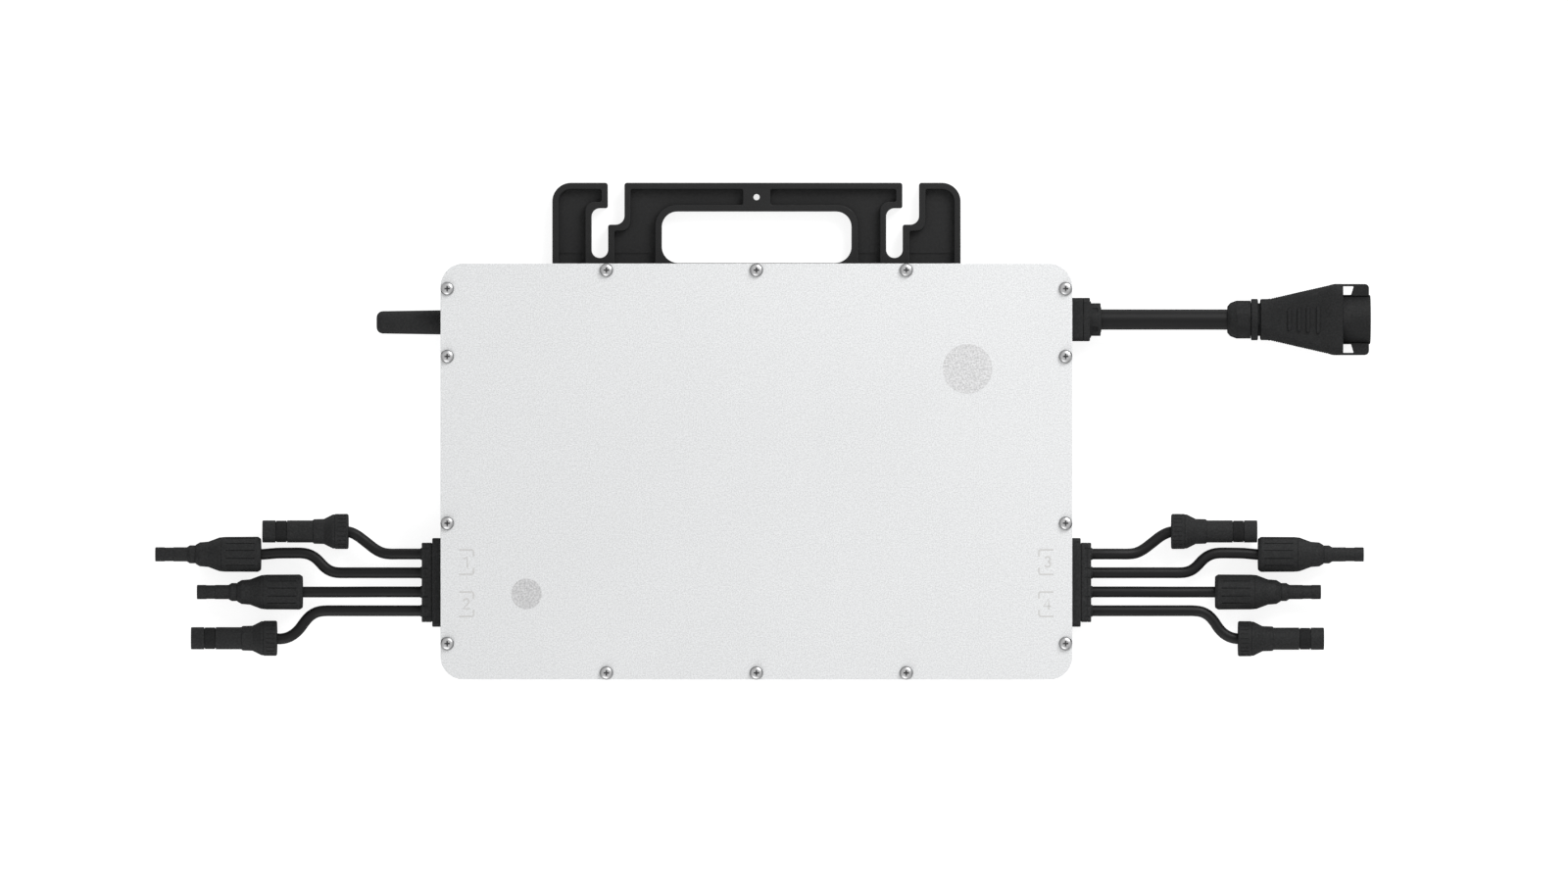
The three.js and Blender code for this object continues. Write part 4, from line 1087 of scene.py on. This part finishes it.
def ac_body_mesh():
    collar = turned([
        (251.6, 0), (251.6, 7.6, 0.3), (259.65, 7.6), (259.65, 10.85, 0.3),
        (263.2, 10.85, 0.6), (263.2, 8.6, 0.2), (265.5, 8.6), (265.5, 0),
    ], 96)
    barrel = turned([(306, 0), (306, 12.9), (322.2, 12.9, 0.5), (322.2, 0)], 96)
    bars = [block((318 * MM, low * MM, -12.2 * MM), (322 * MM, high * MM, 12.2 * MM), 0.3 * MM)
            for low, high in ((7.6, 10.6), (-10.2, -7.1))]
    ridges = [boolean(bar, rod(317, 323, 12.6), "INTERSECT") for bar in bars]
    arm = filleted([(306, 12.2), (321.4, 12.2, 0.3), (321.4, 18.65, 2.2), (306, 18.65)], 8)
    arm_plate = plate([scaled(arm)], -5.4 * MM, 5.4 * MM, 0.4 * MM)
    window = filleted([
        (307.7, 12.95, 0.3), (312.2, 12.95, 0.3), (313.6, 17.45, 0.3), (307.7, 17.45, 0.3),
    ], 4)
    tool = plate([scaled(window)], -9 * MM, 9 * MM)
    mouth = turned([(300, 0), (300, 11), (321, 11, 0.2), (321.8, 11.6), (330, 11.6), (330, 0)], 96)
    ribs = [grip_rib(x, n) for x, n in ((279.5, 11.4), (284.6, 12.4), (289.3, 13.5), (294.6, 14.5))]
    other_side = Matrix.Diagonal((1, -1, 1, 1))
    arms = [arm_plate, placed(arm_plate, other_side)]
    solid = union([flare_mesh(), collar, barrel, *ridges, *arms, *ribs])
    return cut(solid, [mouth, tool, placed(tool, other_side)])


PIN_PLACES = ((-4.6, 4.6), (4.6, 4.6), (-4.6, -4.6), (4.6, -4.6))


def make_ac_connector():
    place = at(0, AC_AXIS.y, AC_AXIS.z)
    nut = piece("ac_nut_dome", placed(ac_nut_mesh(), place), AC_PLASTIC,
                body="ac_cable_nut", replaces=["ac_cable_nut"])
    body = piece("ac_connector_housing", placed(ac_body_mesh(), place), AC_PLASTIC,
                 replaces=["ac_connector_body"], angle=28)
    carrier = turned([(300.3, 0), (300.3, 10.7, 0.3), (306, 10.7, 0.4), (306, 0)], 72)
    collar = turned([(305, 0), (305, 2.6), (307.4, 2.6, 0.3), (307.4, 0)], 40)
    collars = [placed(collar, at(0, y * MM, z * MM)) for y, z in PIN_PLACES]
    insert = piece("ac_insert_carrier", placed(union([carrier, *collars]), place), PLASTIC,
                   replaces=["ac_contact_insert"])
    pin = turned([(304, 0), (304, 1.5), (315, 1.5, 1.1), (315, 0)], 32)
    pins = [placed(pin, at(0, y * MM, z * MM)) for y, z in PIN_PLACES]
    contacts = piece("ac_pins", placed(joined(pins), place), CONTACT)


# ---- CAD nodes that are kept as they are ---------------------------------------------------------

def finish_cad_nodes():
    finishes = {
        "cover_gasket": seal_rubber(),
        "bracket_screw_left": STEEL,
        "bracket_screw_right": STEEL,
        "main_board": solder_mask(),
        "ac_filter_choke": enamelled_copper(),
        "grid_relay": moulded_plastic("relay_case", (0.02, 0.02, 0.022), 0.4),
        "bus_capacitor": moulded_plastic("capacitor_sleeve", (0.02, 0.024, 0.04), 0.35),
        **{f"power_transformer_{i}": None for i in range(1, 5)},
    }
    ferrite_finish = ferrite()
    for node, finish in finishes.items():
        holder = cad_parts[node]
        holder.data.materials.clear()
        holder.data.materials.append(finish or ferrite_finish)


# ---- studio --------------------------------------------------------------------------------------

def make_floor():
    """A plain white table, lit a little from within so that shadows on it stay faint."""
    s = Surface("studio_floor", (0.42, 0.42, 0.42), 0.8, specular=0.1)
    s.mottle((s.noise(3, 2), 0.004))
    s.shader.inputs["Emission Color"].default_value = (1, 1, 1, 1)
    s.shader.inputs["Emission Strength"].default_value = 0.82
    reach, level = 20, -0.0003
    square = ((-reach, -reach), (reach, -reach), (reach, reach), (-reach, reach))
    corners = [(x, y, level) for x, y in square]
    mesh = mesh_from(corners, [(0, 1, 2, 3)])
    mesh.materials.append(s.material)
    floor = bpy.data.objects.new("studio_floor", mesh)
    scene.collection.objects.link(floor)


def make_light(name, place, size, power):
    """A round soft box that faces the inverter."""
    light = bpy.data.lights.new(name, "AREA")
    light.shape, light.size, light.energy = "DISK", size, power
    holder = bpy.data.objects.new(name, light)
    holder.location = place
    holder.rotation_mode = "QUATERNION"
    holder.rotation_quaternion = (-Vector(place)).to_track_quat("-Z", "Y")
    holder.visible_camera = False
    scene.collection.objects.link(holder)


def make_world():
    """A pale dome that is brightest overhead."""
    world = bpy.data.worlds.new("studio")
    world.use_nodes = True
    tree = world.node_tree
    place = tree.nodes.new("ShaderNodeTexCoord").outputs["Generated"]
    parts = tree.nodes.new("ShaderNodeSeparateXYZ")
    tree.links.new(place, parts.inputs["Vector"])
    ramp = tree.nodes.new("ShaderNodeMapRange")
    ramp.interpolation_type = "SMOOTHSTEP"
    set_range(ramp, 0.05, 0.8, 0.2, 0.68)
    tree.links.new(parts.outputs["Z"], ramp.inputs["Value"])
    background = tree.nodes["Background"]
    background.inputs["Color"].default_value = (1, 1, 1, 1)
    tree.links.new(ramp.outputs["Result"], background.inputs["Strength"])
    scene.world = world


def make_studio():
    make_floor()
    make_world()
    make_light("key", (0.66, 0.88, 0.86), 0.8, 11.5)
    make_light("fill", (-0.3, -1.1, 0.6), 1.2, 5.5)
    scene.view_settings.view_transform = "Standard"


make_case()
make_cover_screws()
make_prints()
make_bracket()
make_antenna()
make_ac_gland()
make_dc_glands()
make_pv_connectors()
make_ac_connector()
finish_cad_nodes()
make_studio()
